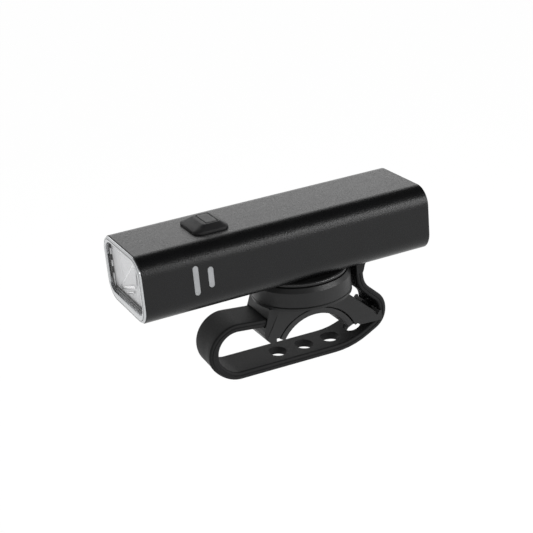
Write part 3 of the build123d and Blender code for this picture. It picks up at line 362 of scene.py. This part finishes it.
def block(bm, x0, x1, y0, y1, z0, z1):
    corners = [bm.verts.new((x, y, z)) for x in (x0, x1) for y in (y0, y1) for z in (z0, z1)]
    for quad in ((0, 1, 3, 2), (4, 6, 7, 5), (0, 4, 5, 1), (2, 3, 7, 6), (0, 2, 6, 4), (1, 5, 7, 3)):
        bm.faces.new([corners[i] for i in quad])


def both_ways(pairs):
    """Pairs (place, size) on one side of the middle, with their mirrored ones before them."""
    return [(-place, size) for place, size in reversed(pairs)] + pairs


def bent_line(points, radii, step=1.0, arc_step=6.0):
    """Points along straight runs and tangent arcs, as (y, z, way_y, way_z)."""
    line = []
    here = Vector(points[0])
    for i in range(1, len(points)):
        corner = Vector(points[i])
        before = (corner - Vector(points[i - 1])).normalized()
        last = i == len(points) - 1
        if last:
            end = corner
        else:
            after = (Vector(points[i + 1]) - corner).normalized()
            bend = math.atan2(before.x * after.y - before.y * after.x, before.dot(after))
            reach = radii[i - 1] * math.tan(abs(bend) / 2)
            end = corner - before * reach
        count = max(1, round((end - here).length / step))
        for k in range(count):
            place = here.lerp(end, k / count)
            line.append((place.x, place.y, before.x, before.y))
        if last:
            line.append((end.x, end.y, before.x, before.y))
            break
        side = 1 if bend > 0 else -1
        centre = end + Vector((-before.y, before.x)) * side * radii[i - 1]
        count = max(2, round(abs(math.degrees(bend)) / arc_step))
        for k in range(count):
            turned = Matrix.Rotation(bend * k / count, 2)
            place = centre + turned @ (end - centre)
            way = turned @ before
            line.append((place.x, place.y, way.x, way.y))
        here = corner + after * reach
    return line


def along(line, distance):
    """Place and way on a bent line at a distance from its start."""
    for a, b in zip(line, line[1:]):
        length = math.hypot(b[0] - a[0], b[1] - a[1])
        if distance <= length:
            share = distance / length
            return tuple(a[k] + (b[k] - a[k]) * share for k in range(4))
        distance -= length
    return line[-1]


def fade(value, start, full):
    """Rises smoothly from 0 at start to 1 at full."""
    share = min(1.0, max(0.0, (value - start) / (full - start)))
    return share * share * (3 - 2 * share)


# strap: its middle line runs from the bead round the pin, through the corners, to the tip, as (y, z)
STRAP_HALF_WIDTH = corners_of("strap_loop")[1].x
STRAP_HALF_THICKNESS = 1.6
STRAP_EDGE_RADIUS = 0.85
BEAD = middle_of("strap_pin").yz
STRAP_CORNERS = [
    (-43.0, 19.9),
    (-43.0, -1.2),
    (16.5, -2.3),
    (31.5, 5.3),
    (31.3, 13.3),
    (22.3, 21.9),
    (22.0, 28.4),
]
STRAP_RADII = [10.0, 9.9, 30.0, 7.4, 7.0, 9.5, 5.0]
STRAP_TIP = (23.2, 32.4)

# fine ridge along each edge, as (out, offset), and the places across the outer face at which it may bend
EDGE_RIDGE = [(0.0, -0.3), (0.26, -0.18), (0.26, 0.1), (0.0, 0.22)]
FACE_POINTS = [-4.0, 0.0, 2.5, 4.5, 6.2]

# holes by their distance along the middle line, and their rims as (offset, growth)
HOOK_HOLE = 116.5
HOLE_PITCH = 11.8
OPEN_HOLES = [HOOK_HOLE - HOLE_PITCH * (i + 1) for i in range(4)]
HOLE_HALF_WIDTH = 4.2
HOLE_HALF_LENGTH = 3.5
OVAL_STEPS = 40
HOLE_RIM = [(1.3, 0.0), (1.52, 0.08), (1.7, 0.2), (2.4, 0.7)]

# loop in front of the leg: where its lean starts and is full, and how far its edges move
LOOP_START_Y = -28
LOOP_FULL_Y = -40
LOOP_MIDDLE_Z = 8.5
LOOP_HALF_HEIGHT = 9.5
LOOP_SET_BACK = 0.3
LOOP_TWIST = 0.35
LOOP_FLARE = 0.85
LOOP_FOOT = 0.7
FOOT_TOP_Z = 7
FOOT_LOW_Z = 1


def strap_profile():
    """Cross-section of the band as (x, offset): flat faces, soft edges and a fine ridge along each edge."""
    points = rounded_rectangle(2 * STRAP_HALF_WIDTH, 2 * STRAP_HALF_THICKNESS, STRAP_EDGE_RADIUS, 4)
    for side, after in ((1, len(points)), (-1, len(points) // 2)):
        points[after:after] = [(side * (STRAP_HALF_WIDTH + out), side * off) for out, off in EDGE_RIDGE]
    outer_face = points.index(min(points, key=lambda point: (point[1], point[0]))) + 1
    points[outer_face:outer_face] = [(x, -STRAP_HALF_THICKNESS) for x in FACE_POINTS]
    return points


def loop_lean(x, y, z, off):
    """How far the loop in front of the leg leans: one edge back, the other flared forward outside."""
    side = x / STRAP_HALF_WIDTH
    swell = max(0.0, 1 - ((z - LOOP_MIDDLE_Z) / LOOP_HALF_HEIGHT) ** 2)
    flare = LOOP_FLARE * swell * fade(side, 0.1, 1.0) if off < 0 else 0.0
    foot = LOOP_FOOT * fade(z, FOOT_TOP_Z, FOOT_LOW_Z) * max(0.0, side)
    return fade(y, LOOP_START_Y, LOOP_FULL_Y) * (LOOP_SET_BACK - LOOP_TWIST * side - flare + foot)


def oval(place, half_width, half_length, off):
    """Oval ring at a place of the strap's middle line, offset through the band."""
    y, z, way_y, way_z = place
    ring = []
    for right, up in circle(OVAL_STEPS):
        run = half_length * up
        ring.append((half_width * right, y + way_y * run - way_z * off, z + way_z * run + way_y * off))
    return ring


strap_line = bent_line([BEAD] + STRAP_CORNERS + [STRAP_TIP], STRAP_RADII)
profile = strap_profile()
rings = []
for y, z, way_y, way_z in strap_line:
    ring = []
    for x, off in profile:
        ring.append((x, y - way_z * off + loop_lean(x, y, z, off), z + way_y * off))
    rings.append(ring)
bm = bmesh.new()
skin(bm, rings)
strap = new_piece("strap", bm, "strap_rubber", 50)

# oval holes whose rims flare at both faces
cutters = []
for distance in OPEN_HOLES + [HOOK_HOLE]:
    place = along(strap_line, distance)
    rings = []
    for off, grow in both_ways(HOLE_RIM):
        rings.append(oval(place, HOLE_HALF_WIDTH + grow, HOLE_HALF_LENGTH + grow, off))
    bm = bmesh.new()
    skin(bm, rings)
    cutter = new_piece("cutter", bm, "strap_rubber")
    cutters.append(cutter)
    cut = strap.modifiers.new("hole", "BOOLEAN")
    cut.object = cutter
    cut.operation = "DIFFERENCE"
    cut.solver = "EXACT"
settle(strap)
for cutter in cutters:
    bpy.data.objects.remove(cutter)

# rolled bead round the pin, as (x, radius), and the grip tab at the tip, as (y, z)
BEAD_END = [(8.3, 2.9), (8.65, 2.75), (STRAP_HALF_WIDTH, 2.5)]
BEAD_STEPS = 48
GRIP_HALF_WIDTH = 9.05
GRIP = [
    (20.42, 27.4),
    (20.42, 32.8),
    (25.3, 32.9),
    (25.5, 32.4),
    (25.15, 31.8),
    (24.52, 30.9),
    (24.16, 29.8),
    (23.72, 28.4),
    (23.2, 27.4),
]
SOFT_WIDTH = 0.35
SOFT_FROM_ANGLE = 40

bm = bmesh.new()
rings = []
for x, radius in both_ways(BEAD_END):
    rings.append([(x, BEAD[0] + radius * right, BEAD[1] + radius * up) for right, up in circle(BEAD_STEPS)])
skin(bm, rings)
skin(bm, [[(x, y, z) for y, z in GRIP] for x in (-GRIP_HALF_WIDTH, GRIP_HALF_WIDTH)])
ends = new_piece("strap_ends", bm, "strap_rubber", 30)
soft = ends.modifiers.new("soft", "BEVEL")
soft.width = SOFT_WIDTH * MM
soft.segments = 3
soft.limit_method = "ANGLE"
soft.angle_limit = math.radians(SOFT_FROM_ANGLE)
settle(ends)

with bpy.context.temp_override(active_object=strap, selected_editable_objects=[strap, ends]):
    bpy.ops.object.join()
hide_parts("strap_loop", "strap_tail")
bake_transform(strap)


# boss at the root of the hook's peg, which fills the strap's hole, as (offset, half width, half length)
BOSS_SET_BACK = 0.3
BOSS = [
    (3.0, 3.2, 2.2),
    (1.9, 3.6, 2.7),
    (0.6, 3.85, 3.0),
    (-0.5, 3.7, 2.9),
    (-0.85, 3.4, 2.6),
]
place = along(strap_line, HOOK_HOLE - BOSS_SET_BACK)
bm = bmesh.new()
skin(bm, [oval(place, half_width, half_length, off) for off, half_width, half_length in BOSS])
hook_boss = new_piece("hook_boss", bm, "mount_plastic", 35)
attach(hook_boss, "bracket")


# pad of the saddle, swept round the bar between its two ends, whose heights are taken at one radius
PAD_FACE = 16.05
PAD_BACK = 18.85
PAD_HALF_WIDTH = corners_of("saddle_pad")[1].x
PAD_SOFT_EDGE = 0.35
PAD_BACK_GAP = 0.12
PAD_BEVEL_WIDTH = 1.1
PAD_BEVEL_DEPTH = 0.55
PAD_END_RADIUS = 17.4
PAD_REAR_Z = 6.9
PAD_FRONT_Z = 9.3
PAD_STEPS = 220

# right halves of the pad's face and back, as (x, radius)
PAD_FACE_HALF = [
    (PAD_HALF_WIDTH - PAD_SOFT_EDGE, PAD_FACE),
    (PAD_HALF_WIDTH - PAD_SOFT_EDGE * 0.3, PAD_FACE + PAD_SOFT_EDGE * 0.3),
    (PAD_HALF_WIDTH, PAD_FACE + PAD_SOFT_EDGE),
]
PAD_BACK_HALF = [
    (PAD_HALF_WIDTH - PAD_BEVEL_WIDTH, PAD_BACK - PAD_BACK_GAP),
    (PAD_HALF_WIDTH, PAD_BACK - PAD_BEVEL_DEPTH),
]
pad_profile = both_ways(PAD_FACE_HALF) + both_ways(PAD_BACK_HALF)[::-1]

rear_angle = math.asin(PAD_REAR_Z / PAD_END_RADIUS)
front_angle = math.pi - math.asin(PAD_FRONT_Z / PAD_END_RADIUS)
rings = []
for i in range(PAD_STEPS + 1):
    angle = rear_angle + (front_angle - rear_angle) * i / PAD_STEPS
    rings.append([(x, radius * math.cos(angle), radius * math.sin(angle)) for x, radius in pad_profile])
bm = bmesh.new()
skin(bm, rings)
pad = new_piece("pad", bm, "pad_rubber", 50)
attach(pad, "bracket")
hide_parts("saddle_pad")


# fine ribs on both sides of the front leg, between two places (y, z), with rounded ends
# the section's points are (share of height, across)
LEG_SIDE_X = 9.8
RIB_TOP = (-15.8, 20.2)
RIB_LOW = (-20.9, 11.4)
RIB_ACROSS = (0.865, -0.5)
RIB_HEIGHT = 0.42
RIB_SECTION = [(0, -0.34), (1, -0.16), (1, 0.16), (0, 0.34)]
RIB_END = 0.08
RIB_ROUNDNESS = 0.4
RIB_STEPS = 8

bm = bmesh.new()
for side in (-1, 1):
    rings = []
    for i in range(RIB_STEPS + 1):
        share = i / RIB_STEPS
        y, z = (top + (low - top) * share for top, low in zip(RIB_TOP, RIB_LOW))
        swell = math.sin(math.pi * (RIB_END + (1 - 2 * RIB_END) * share)) ** RIB_ROUNDNESS
        ring = []
        for out, across in RIB_SECTION:
            x = side * (LEG_SIDE_X + out * RIB_HEIGHT * swell)
            ring.append((x, y + across * RIB_ACROSS[0], z + across * RIB_ACROSS[1]))
        rings.append(ring)
    skin(bm, rings)
leg_ribs = new_piece("leg_ribs", bm, "mount_plastic", 25)
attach(leg_ribs, "bracket")


# glossy edge of the foot's flange, half round on top; its look is lighter than the mount plastic, and that
# lighter colour is a painted highlight along the edge
FLANGE_Z = 33.2
EDGE_RADIUS = corners_of("lamp_foot")[1].x - 0.18
EDGE_HALF_WIDTH = 0.3
EDGE_RISE = 0.26
EDGE_STEPS = 8
EDGE_TURN_STEPS = 96

rings = []
for i in range(EDGE_STEPS + 1):
    angle = math.pi * i / EDGE_STEPS
    radius = EDGE_RADIUS - EDGE_HALF_WIDTH * math.cos(angle)
    z = FLANGE_Z + EDGE_RISE * math.sin(angle)
    rings.append([(radius * right, radius * up, z) for right, up in circle(EDGE_TURN_STEPS)])
bm = bmesh.new()
skin(bm, rings, caps=False)
flange_edge = new_piece("flange_edge", bm, "mount_plastic", 60, "edge")
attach(flange_edge, "lamp")


# button: a rubber boot that steps up from the lamp's top to the rim of its hole, and the key in it
TOP_Z = corners_of("lamp_housing")[1].z
BOOT_Y = middle_of("button_boot").y
KEY_Y = middle_of("button_cap").y


def level(width, length, radius, rise, y):
    """Rounded rectangle at a height above the lamp's top."""
    return [(x, y + run, TOP_Z + rise) for x, run in rounded_rectangle(width, length, radius)]


boot_levels = [
    level(17.8, 14.0, 3.0, -0.02, BOOT_Y),
    level(18.0, 14.2, 3.1, 0.06, BOOT_Y),
    level(18.0, 14.2, 3.1, 0.34, BOOT_Y),
    level(17.75, 13.95, 3.0, 0.40, BOOT_Y),
    level(17.75, 13.95, 3.0, 0.46, BOOT_Y),
    level(17.9, 14.1, 3.05, 0.52, BOOT_Y),
    level(17.9, 14.1, 3.05, 0.82, BOOT_Y),
    level(17.6, 13.8, 2.95, 0.98, BOOT_Y),
    level(15.4, 11.2, 2.3, 1.55, BOOT_Y + 0.38),
    level(13.4, 8.8, 1.65, 2.12, BOOT_Y + 0.74),
    level(12.6, 7.8, 1.4, 2.42, BOOT_Y + 0.88),
    level(12.2, 7.3, 1.25, 2.55, BOOT_Y + 0.93),
    level(11.7, 6.8, 1.05, 2.6, BOOT_Y + 0.95),
    level(10.7, 5.3, 0.65, 2.6, KEY_Y),
    level(10.4, 5.0, 0.55, 2.5, KEY_Y),
    level(10.4, 5.0, 0.55, 0.9, KEY_Y),
]
bm = bmesh.new()
skin(bm, boot_levels, caps=False)
boot = new_piece("boot", bm, "button_rubber", 28)
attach(boot, "lamp")
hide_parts("button_boot")

key_levels = [
    level(10.0, 4.6, 0.5, -1.0, KEY_Y),
    level(10.0, 4.6, 0.5, 2.5, KEY_Y),
    level(9.8, 4.4, 0.5, 2.62, KEY_Y),
    level(9.2, 3.8, 0.45, 2.67, KEY_Y),
    level(6.0, 2.0, 0.4, 2.62, KEY_Y),
]
bm = bmesh.new()
skin(bm, key_levels)
key = new_piece("key", bm, "button_key", 28)
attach(key, "button")
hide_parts("button_cap")


# front window and what lies behind it; each pair of radii is for the upper and the lower corners
housing_low, housing_high = corners_of("lamp_housing")
FRONT_Y = housing_low.y
BODY_HALF_X, BODY_LOW_Z, BODY_HIGH_Z = housing_high.x, housing_low.z, housing_high.z
BODY_RADII = (7.16, 7.72)
OPEN_HALF_X, OPEN_LOW_Z, OPEN_HIGH_Z = 17.5, 37.4, 57.9
OPEN_RADII = (6.5, 4.5)
TRAY_HIGH_Z = OPEN_HIGH_Z - 0.2
TRAY_RADII = (3.4, 3.2)

RIM_SEAT_Y = FRONT_Y - 0.05
RIM_BACK_Y = FRONT_Y + 0.67
WINDOW_Y = FRONT_Y - 0.08
WINDOW_BACK_Y = corners_of("front_lens")[1].y
SEAL_BACK_Y = WINDOW_BACK_Y - 0.03
PLATE_Y = FRONT_Y + 2.42
TRAY_BACK_Y = FRONT_Y + 13.67


def outline(half_x, low_z, high_z, radii, inset, y, steps=8):
    """Ring of a rectangle whose upper and lower corners have their own radius, smaller by an inset."""
    upper, lower = radii
    ring = []
    for side_x, side_z, radius, start in (
        (1, 1, upper, 0),
        (-1, 1, upper, 90),
        (-1, -1, lower, 180),
        (1, -1, lower, 270),
    ):
        middle_x = side_x * (half_x - radius)
        middle_z = high_z - radius if side_z > 0 else low_z + radius
        reach = radius - inset
        for i in range(steps + 1):
            angle = math.radians(start + 90 * i / steps)
            ring.append((middle_x + reach * math.cos(angle), y, middle_z + reach * math.sin(angle)))
    return ring


def section(inset, y):
    """Ring of the body's own section."""
    return outline(BODY_HALF_X, BODY_LOW_Z, BODY_HIGH_Z, BODY_RADII, inset, y)


def opening(grow, y):
    """Ring of the window's clear opening."""
    return outline(OPEN_HALF_X, OPEN_LOW_Z, OPEN_HIGH_Z, OPEN_RADII, -grow, y)


def tray(grow, y):
    """Ring of the tray behind the window, whose corners are tighter than the opening's."""
    return outline(OPEN_HALF_X, OPEN_LOW_Z, TRAY_HIGH_Z, TRAY_RADII, -grow, y)


def front_piece(name, bm, slot, look, sharp_angle=35):
    """Piece at the front window, which rides the lamp and has a look of its own."""
    piece = new_piece(name, bm, slot, sharp_angle, look)
    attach(piece, "lamp")
    return piece


# rim over the end of the housing, with a groove all round, and the dark line in the groove
bm = bmesh.new()
skin_round(
    bm,
    [
        section(0.30, RIM_SEAT_Y),
        section(0.30, FRONT_Y - 0.28),
        section(0.42, FRONT_Y - 0.45),
        section(0.95, FRONT_Y - 0.69),
        section(1.12, FRONT_Y - 0.63),
        section(1.30, FRONT_Y - 0.76),
        opening(0.55, FRONT_Y - 0.80),
        opening(0.30, FRONT_Y - 0.75),
        opening(0.12, FRONT_Y - 0.61),
        opening(0.0, WINDOW_Y),
        opening(0.0, RIM_BACK_Y),
        section(1.75, RIM_BACK_Y),
        section(1.62, RIM_BACK_Y - 0.1),
        section(1.62, RIM_SEAT_Y),
    ],
)
front_piece("bezel", bm, "lens", "bezel")

bm = bmesh.new()
skin_round(
    bm,
    [
        section(1.02, FRONT_Y - 0.63),
        section(1.06, FRONT_Y - 0.73),
        section(1.24, FRONT_Y - 0.75),
        section(1.26, FRONT_Y - 0.63),
    ],
)
front_piece("bezel_line", bm, "lens", "bezel_line")

bm = bmesh.new()
skin(bm, [opening(0.3, WINDOW_Y), opening(0.3, WINDOW_BACK_Y)])
window = front_piece("window", bm, "lens", "window")
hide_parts("front_lens")

bm = bmesh.new()
skin_round(
    bm,
    [
        tray(0.0, WINDOW_Y + 0.05),
        tray(0.5, WINDOW_Y + 0.05),
        tray(0.5, SEAL_BACK_Y),
        tray(0.0, SEAL_BACK_Y),
    ],
)
seal = front_piece("seal", bm, "seal_rubber", "optic_dark")
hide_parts("lens_gasket")

# reflector: a pale plate folded along one diagonal, whose lower right side is set deeper; places are (x, z)
FOLD_LOW = (-12.6, 38.9)
FOLD_HIGH = (7.5, 55.3)
DEEP = (6.2, 42.9)
DEPTH = 0.8

bm = bmesh.new()
front_ring = [bm.verts.new(point) for point in tray(0.3, PLATE_Y)]
back_ring = [bm.verts.new(point) for point in tray(0.3, TRAY_BACK_Y)]
bridge(bm, front_ring, back_ring)
bm.faces.new(back_ring)
low, high = (bm.verts.new((x, PLATE_Y, z)) for x, z in (FOLD_LOW, FOLD_HIGH))
deep = bm.verts.new((DEEP[0], PLATE_Y + DEPTH, DEEP[1]))
quarter = len(front_ring) // 4
for corner, peak in enumerate((high, low, low, deep)):
    for i in range(corner * quarter, (corner + 1) * quarter - 1):
        bm.faces.new((front_ring[i], front_ring[i + 1], peak))
top_right, top_left = front_ring[quarter - 1 : quarter + 1]
left_up, left_low = front_ring[2 * quarter - 1 : 2 * quarter + 1]
low_left, low_right = front_ring[3 * quarter - 1 : 3 * quarter + 1]
right_low, right_up = front_ring[-1], front_ring[0]
for three in (
    (top_right, top_left, high),
    (top_left, low, high),
    (left_up, left_low, low),
    (low_left, deep, low),
    (low_left, low_right, deep),
    (right_low, right_up, deep),
    (right_up, high, deep),
    (low, deep, high),
):
    bm.faces.new(three)
optic = front_piece("optic", bm, "reflector", "optic", 4)
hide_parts("reflector")

# ribs and marks on the plate and along the tray's sides; the bright ribs are painted highlights and the
# pale marks along the sides are a painted reflection
ROD_RISE = 0.2
ROD_SIDES = 10
GLINT_MARK_X = (16.85, 17.6)
GLINT_MARK_LOW_Z = (38.2, 40.9, 46.2, 51.2)
GLINT_MARK_HEIGHT = 2.4


def rod(bm, start, end, radius):
    """Low rib, half sunk in the reflector's plate, between two points (x, z)."""
    start, end = (Vector((x, PLATE_Y, z)) for x, z in (start, end))
    way = (end - start).normalized()
    side = way.cross(Vector((0, 1, 0))).normalized()
    rise = way.cross(side) * ROD_RISE
    spokes = [(side * right + rise * up) * radius for right, up in circle(ROD_SIDES)]
    skin(bm, [[place + spoke for spoke in spokes] for place in (start, end)])


# ribs along the fold and below it, in bright metal: painted highlights where light glints on the plate
bm = bmesh.new()
rod(bm, FOLD_LOW, FOLD_HIGH, 0.22)
rod(bm, (-11.0, 39.2), (5.0, 44.8), 0.66)
rod(bm, (-4.9, 39.2), (2.4, 41.7), 0.4)
front_piece("optic_highlight_ribs", bm, "reflector", "optic_painted_highlight", 50)

bm = bmesh.new()
rod(bm, (-7.3, 45.4), (-8.8, 53.4), 0.7)
rod(bm, (5.9, 45.6), (7.4, 53.0), 0.9)
# pale marks along the tray's sides: a painted reflection, pale dashes where light glints on the reflector's
# edge
for side in (-1, 1):
    for z in GLINT_MARK_LOW_Z:
        x0, x1 = (side * x for x in GLINT_MARK_X)
        block(bm, x0, x1, WINDOW_BACK_Y + 0.05, WINDOW_BACK_Y + 0.5, z, z + GLINT_MARK_HEIGHT)
front_piece("optic_dashes", bm, "reflector", "optic", 50)

# ledge below the window: each piece's steps as (front y, low z, high z)
LEDGE_HALF_X = 14.8
LEDGE_Y = WINDOW_BACK_Y + 0.05
for name, look, steps in (
    ("ledge", "optic_grey", ((WINDOW_Y + 0.05, 37.2, 37.45), (LEDGE_Y + 0.12, 37.7, 38.05))),
    ("ledge_lines", "optic_dark", ((LEDGE_Y, 37.3, 37.7), (LEDGE_Y + 0.3, 38.05, 38.3))),
):
    bm = bmesh.new()
    for y, low_z, high_z in steps:
        block(bm, -LEDGE_HALF_X, LEDGE_HALF_X, y, PLATE_Y - 0.02, low_z, high_z)
    front_piece(name, bm, "reflector", look, 50)


# cover of the charging socket, and its tether
PORT_Z = middle_of("usb_cover").z
TETHER_Z = middle_of("cover_tether").z
COVER_Y = corners_of("usb_cover")[1].y


def upright(width, height, radius, inset, z):
    """Upright rounded rectangle, set in from the cover's outer face."""
    return [(x, COVER_Y - inset, z + rise) for x, rise in rounded_rectangle(width, height, radius, 5)]


cover_rings = [
    upright(13.2, 6.8, 1.3, 1.18, PORT_Z),
    upright(13.6, 7.2, 1.5, 0.98, PORT_Z),
    upright(13.6, 7.2, 1.5, 0.23, PORT_Z),
    upright(13.3, 6.9, 1.4, 0.03, PORT_Z),
    upright(12.2, 5.8, 1.2, 0.0, PORT_Z),
    upright(11.8, 5.4, 1.1, 0.15, PORT_Z),
    upright(6.0, 2.4, 0.8, 0.15, PORT_Z),
]
bm = bmesh.new()
skin(bm, cover_rings)
cover = new_piece("cover", bm, "cover_rubber", 40)
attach(cover, "socket_cover")
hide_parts("usb_cover")

tether_rings = [
    upright(6.0, 3.0, 0.5, 2.38, TETHER_Z),
    upright(6.0, 3.0, 0.5, 0.33, TETHER_Z),
    upright(5.7, 2.7, 0.45, 0.05, TETHER_Z),
    upright(5.0, 2.0, 0.4, 0.0, TETHER_Z),
]
bm = bmesh.new()
skin(bm, tether_rings)
tether = new_piece("tether", bm, "cover_rubber", 40)
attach(tether, "lamp")
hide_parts("cover_tether")


# floor, which looks nearly white to the camera and in reflections
FLOOR_Z = -0.26
FLOOR_HALF = 4
FLOOR_GLOW = 1.05
GLOW_SHARE = 0.93

floor_look = Nodes("floor")
floor_look.set(Roughness=0.9, Specular_IOR_Level=0.0, Base_Color=(0.9, 0.9, 0.9, 1))
glow = floor_look.add("Emission")
glow.inputs["Strength"].default_value = FLOOR_GLOW
path = floor_look.add("LightPath")
seen = path.outputs["Is Camera Ray"]
for ray in ("Is Glossy Ray", "Is Transmission Ray"):
    either = floor_look.add("Math", operation="MAXIMUM")
    floor_look.join(seen, either.inputs[0])
    floor_look.join(path.outputs[ray], either.inputs[1])
    seen = either.outputs[0]
share = floor_look.add("Math", operation="MULTIPLY")
share.inputs[1].default_value = GLOW_SHARE
floor_look.join(seen, share.inputs[0])
floor_look.mix_in(share.outputs[0], glow)

bm = bmesh.new()
corners = [(-1, -1), (-1, 1), (1, 1), (1, -1)]
bm.faces.new([bm.verts.new((FLOOR_HALF * x, FLOOR_HALF * y, FLOOR_Z)) for x, y in corners])
mesh = bpy.data.meshes.new("floor")
bm.to_mesh(mesh)
bm.free()
floor = bpy.data.objects.new("floor", mesh)
bpy.context.collection.objects.link(floor)
mesh.materials.append(LOOKS["floor"])


# world: white to the camera; the object sees it bright below and near the horizon, and dark overhead
SKY = [(0.0, 0.9), (0.30, 0.9), (0.52, 0.16), (0.7, 0.05), (1.0, 0.05)]

world = bpy.data.worlds.new("studio")
bpy.context.scene.world = world
world.use_nodes = True
tree = world.node_tree
where = tree.nodes.new("ShaderNodeTexCoord")
split = tree.nodes.new("ShaderNodeSeparateXYZ")
ramp = tree.nodes.new("ShaderNodeValToRGB")
background = tree.nodes["Background"]
background.inputs["Strength"].default_value = 1.0
white = tree.nodes.new("ShaderNodeBackground")
white.inputs["Strength"].default_value = 1.0
path = tree.nodes.new("ShaderNodeLightPath")
pick = tree.nodes.new("ShaderNodeMixShader")

stops = ramp.color_ramp.elements
for position, value in SKY[1:-1]:
    stops.new(position)
for stop, (position, value) in zip(stops, SKY):
    stop.color = (value, value, value, 1)

for source, target in (
    (where.outputs["Generated"], split.inputs[0]),
    (split.outputs["Z"], ramp.inputs["Fac"]),
    (ramp.outputs["Color"], background.inputs["Color"]),
    (path.outputs["Is Camera Ray"], pick.inputs["Fac"]),
    (background.outputs[0], pick.inputs[1]),
    (white.outputs[0], pick.inputs[2]),
    (pick.outputs[0], tree.nodes["World Output"].inputs["Surface"]),
):
    tree.links.new(source, target)


# lights, aimed at the middle of the object
MIDDLE = (0, -0.012, 0.03)


def lamp(name, place, width, height, power):
    data = bpy.data.lights.new(name, "AREA")
    data.shape = "RECTANGLE"
    data.size = width
    data.size_y = height
    data.energy = power
    light = bpy.data.objects.new(name, data)
    light.location = place
    light.rotation_euler = (Vector(MIDDLE) - Vector(place)).to_track_quat("-Z", "Y").to_euler()
    bpy.context.collection.objects.link(light)


lamp("back_light", (-0.9, 0.24, 0.42), 0.8, 0.5, 1.3)
lamp("side_light", (0.9, 0.75, 0.22), 0.9, 0.22, 3.3)
lamp("shoulder_light", (0.82, 0.7, 0.54), 0.9, 0.22, 5.5)

bpy.context.scene.view_settings.view_transform = "Standard"
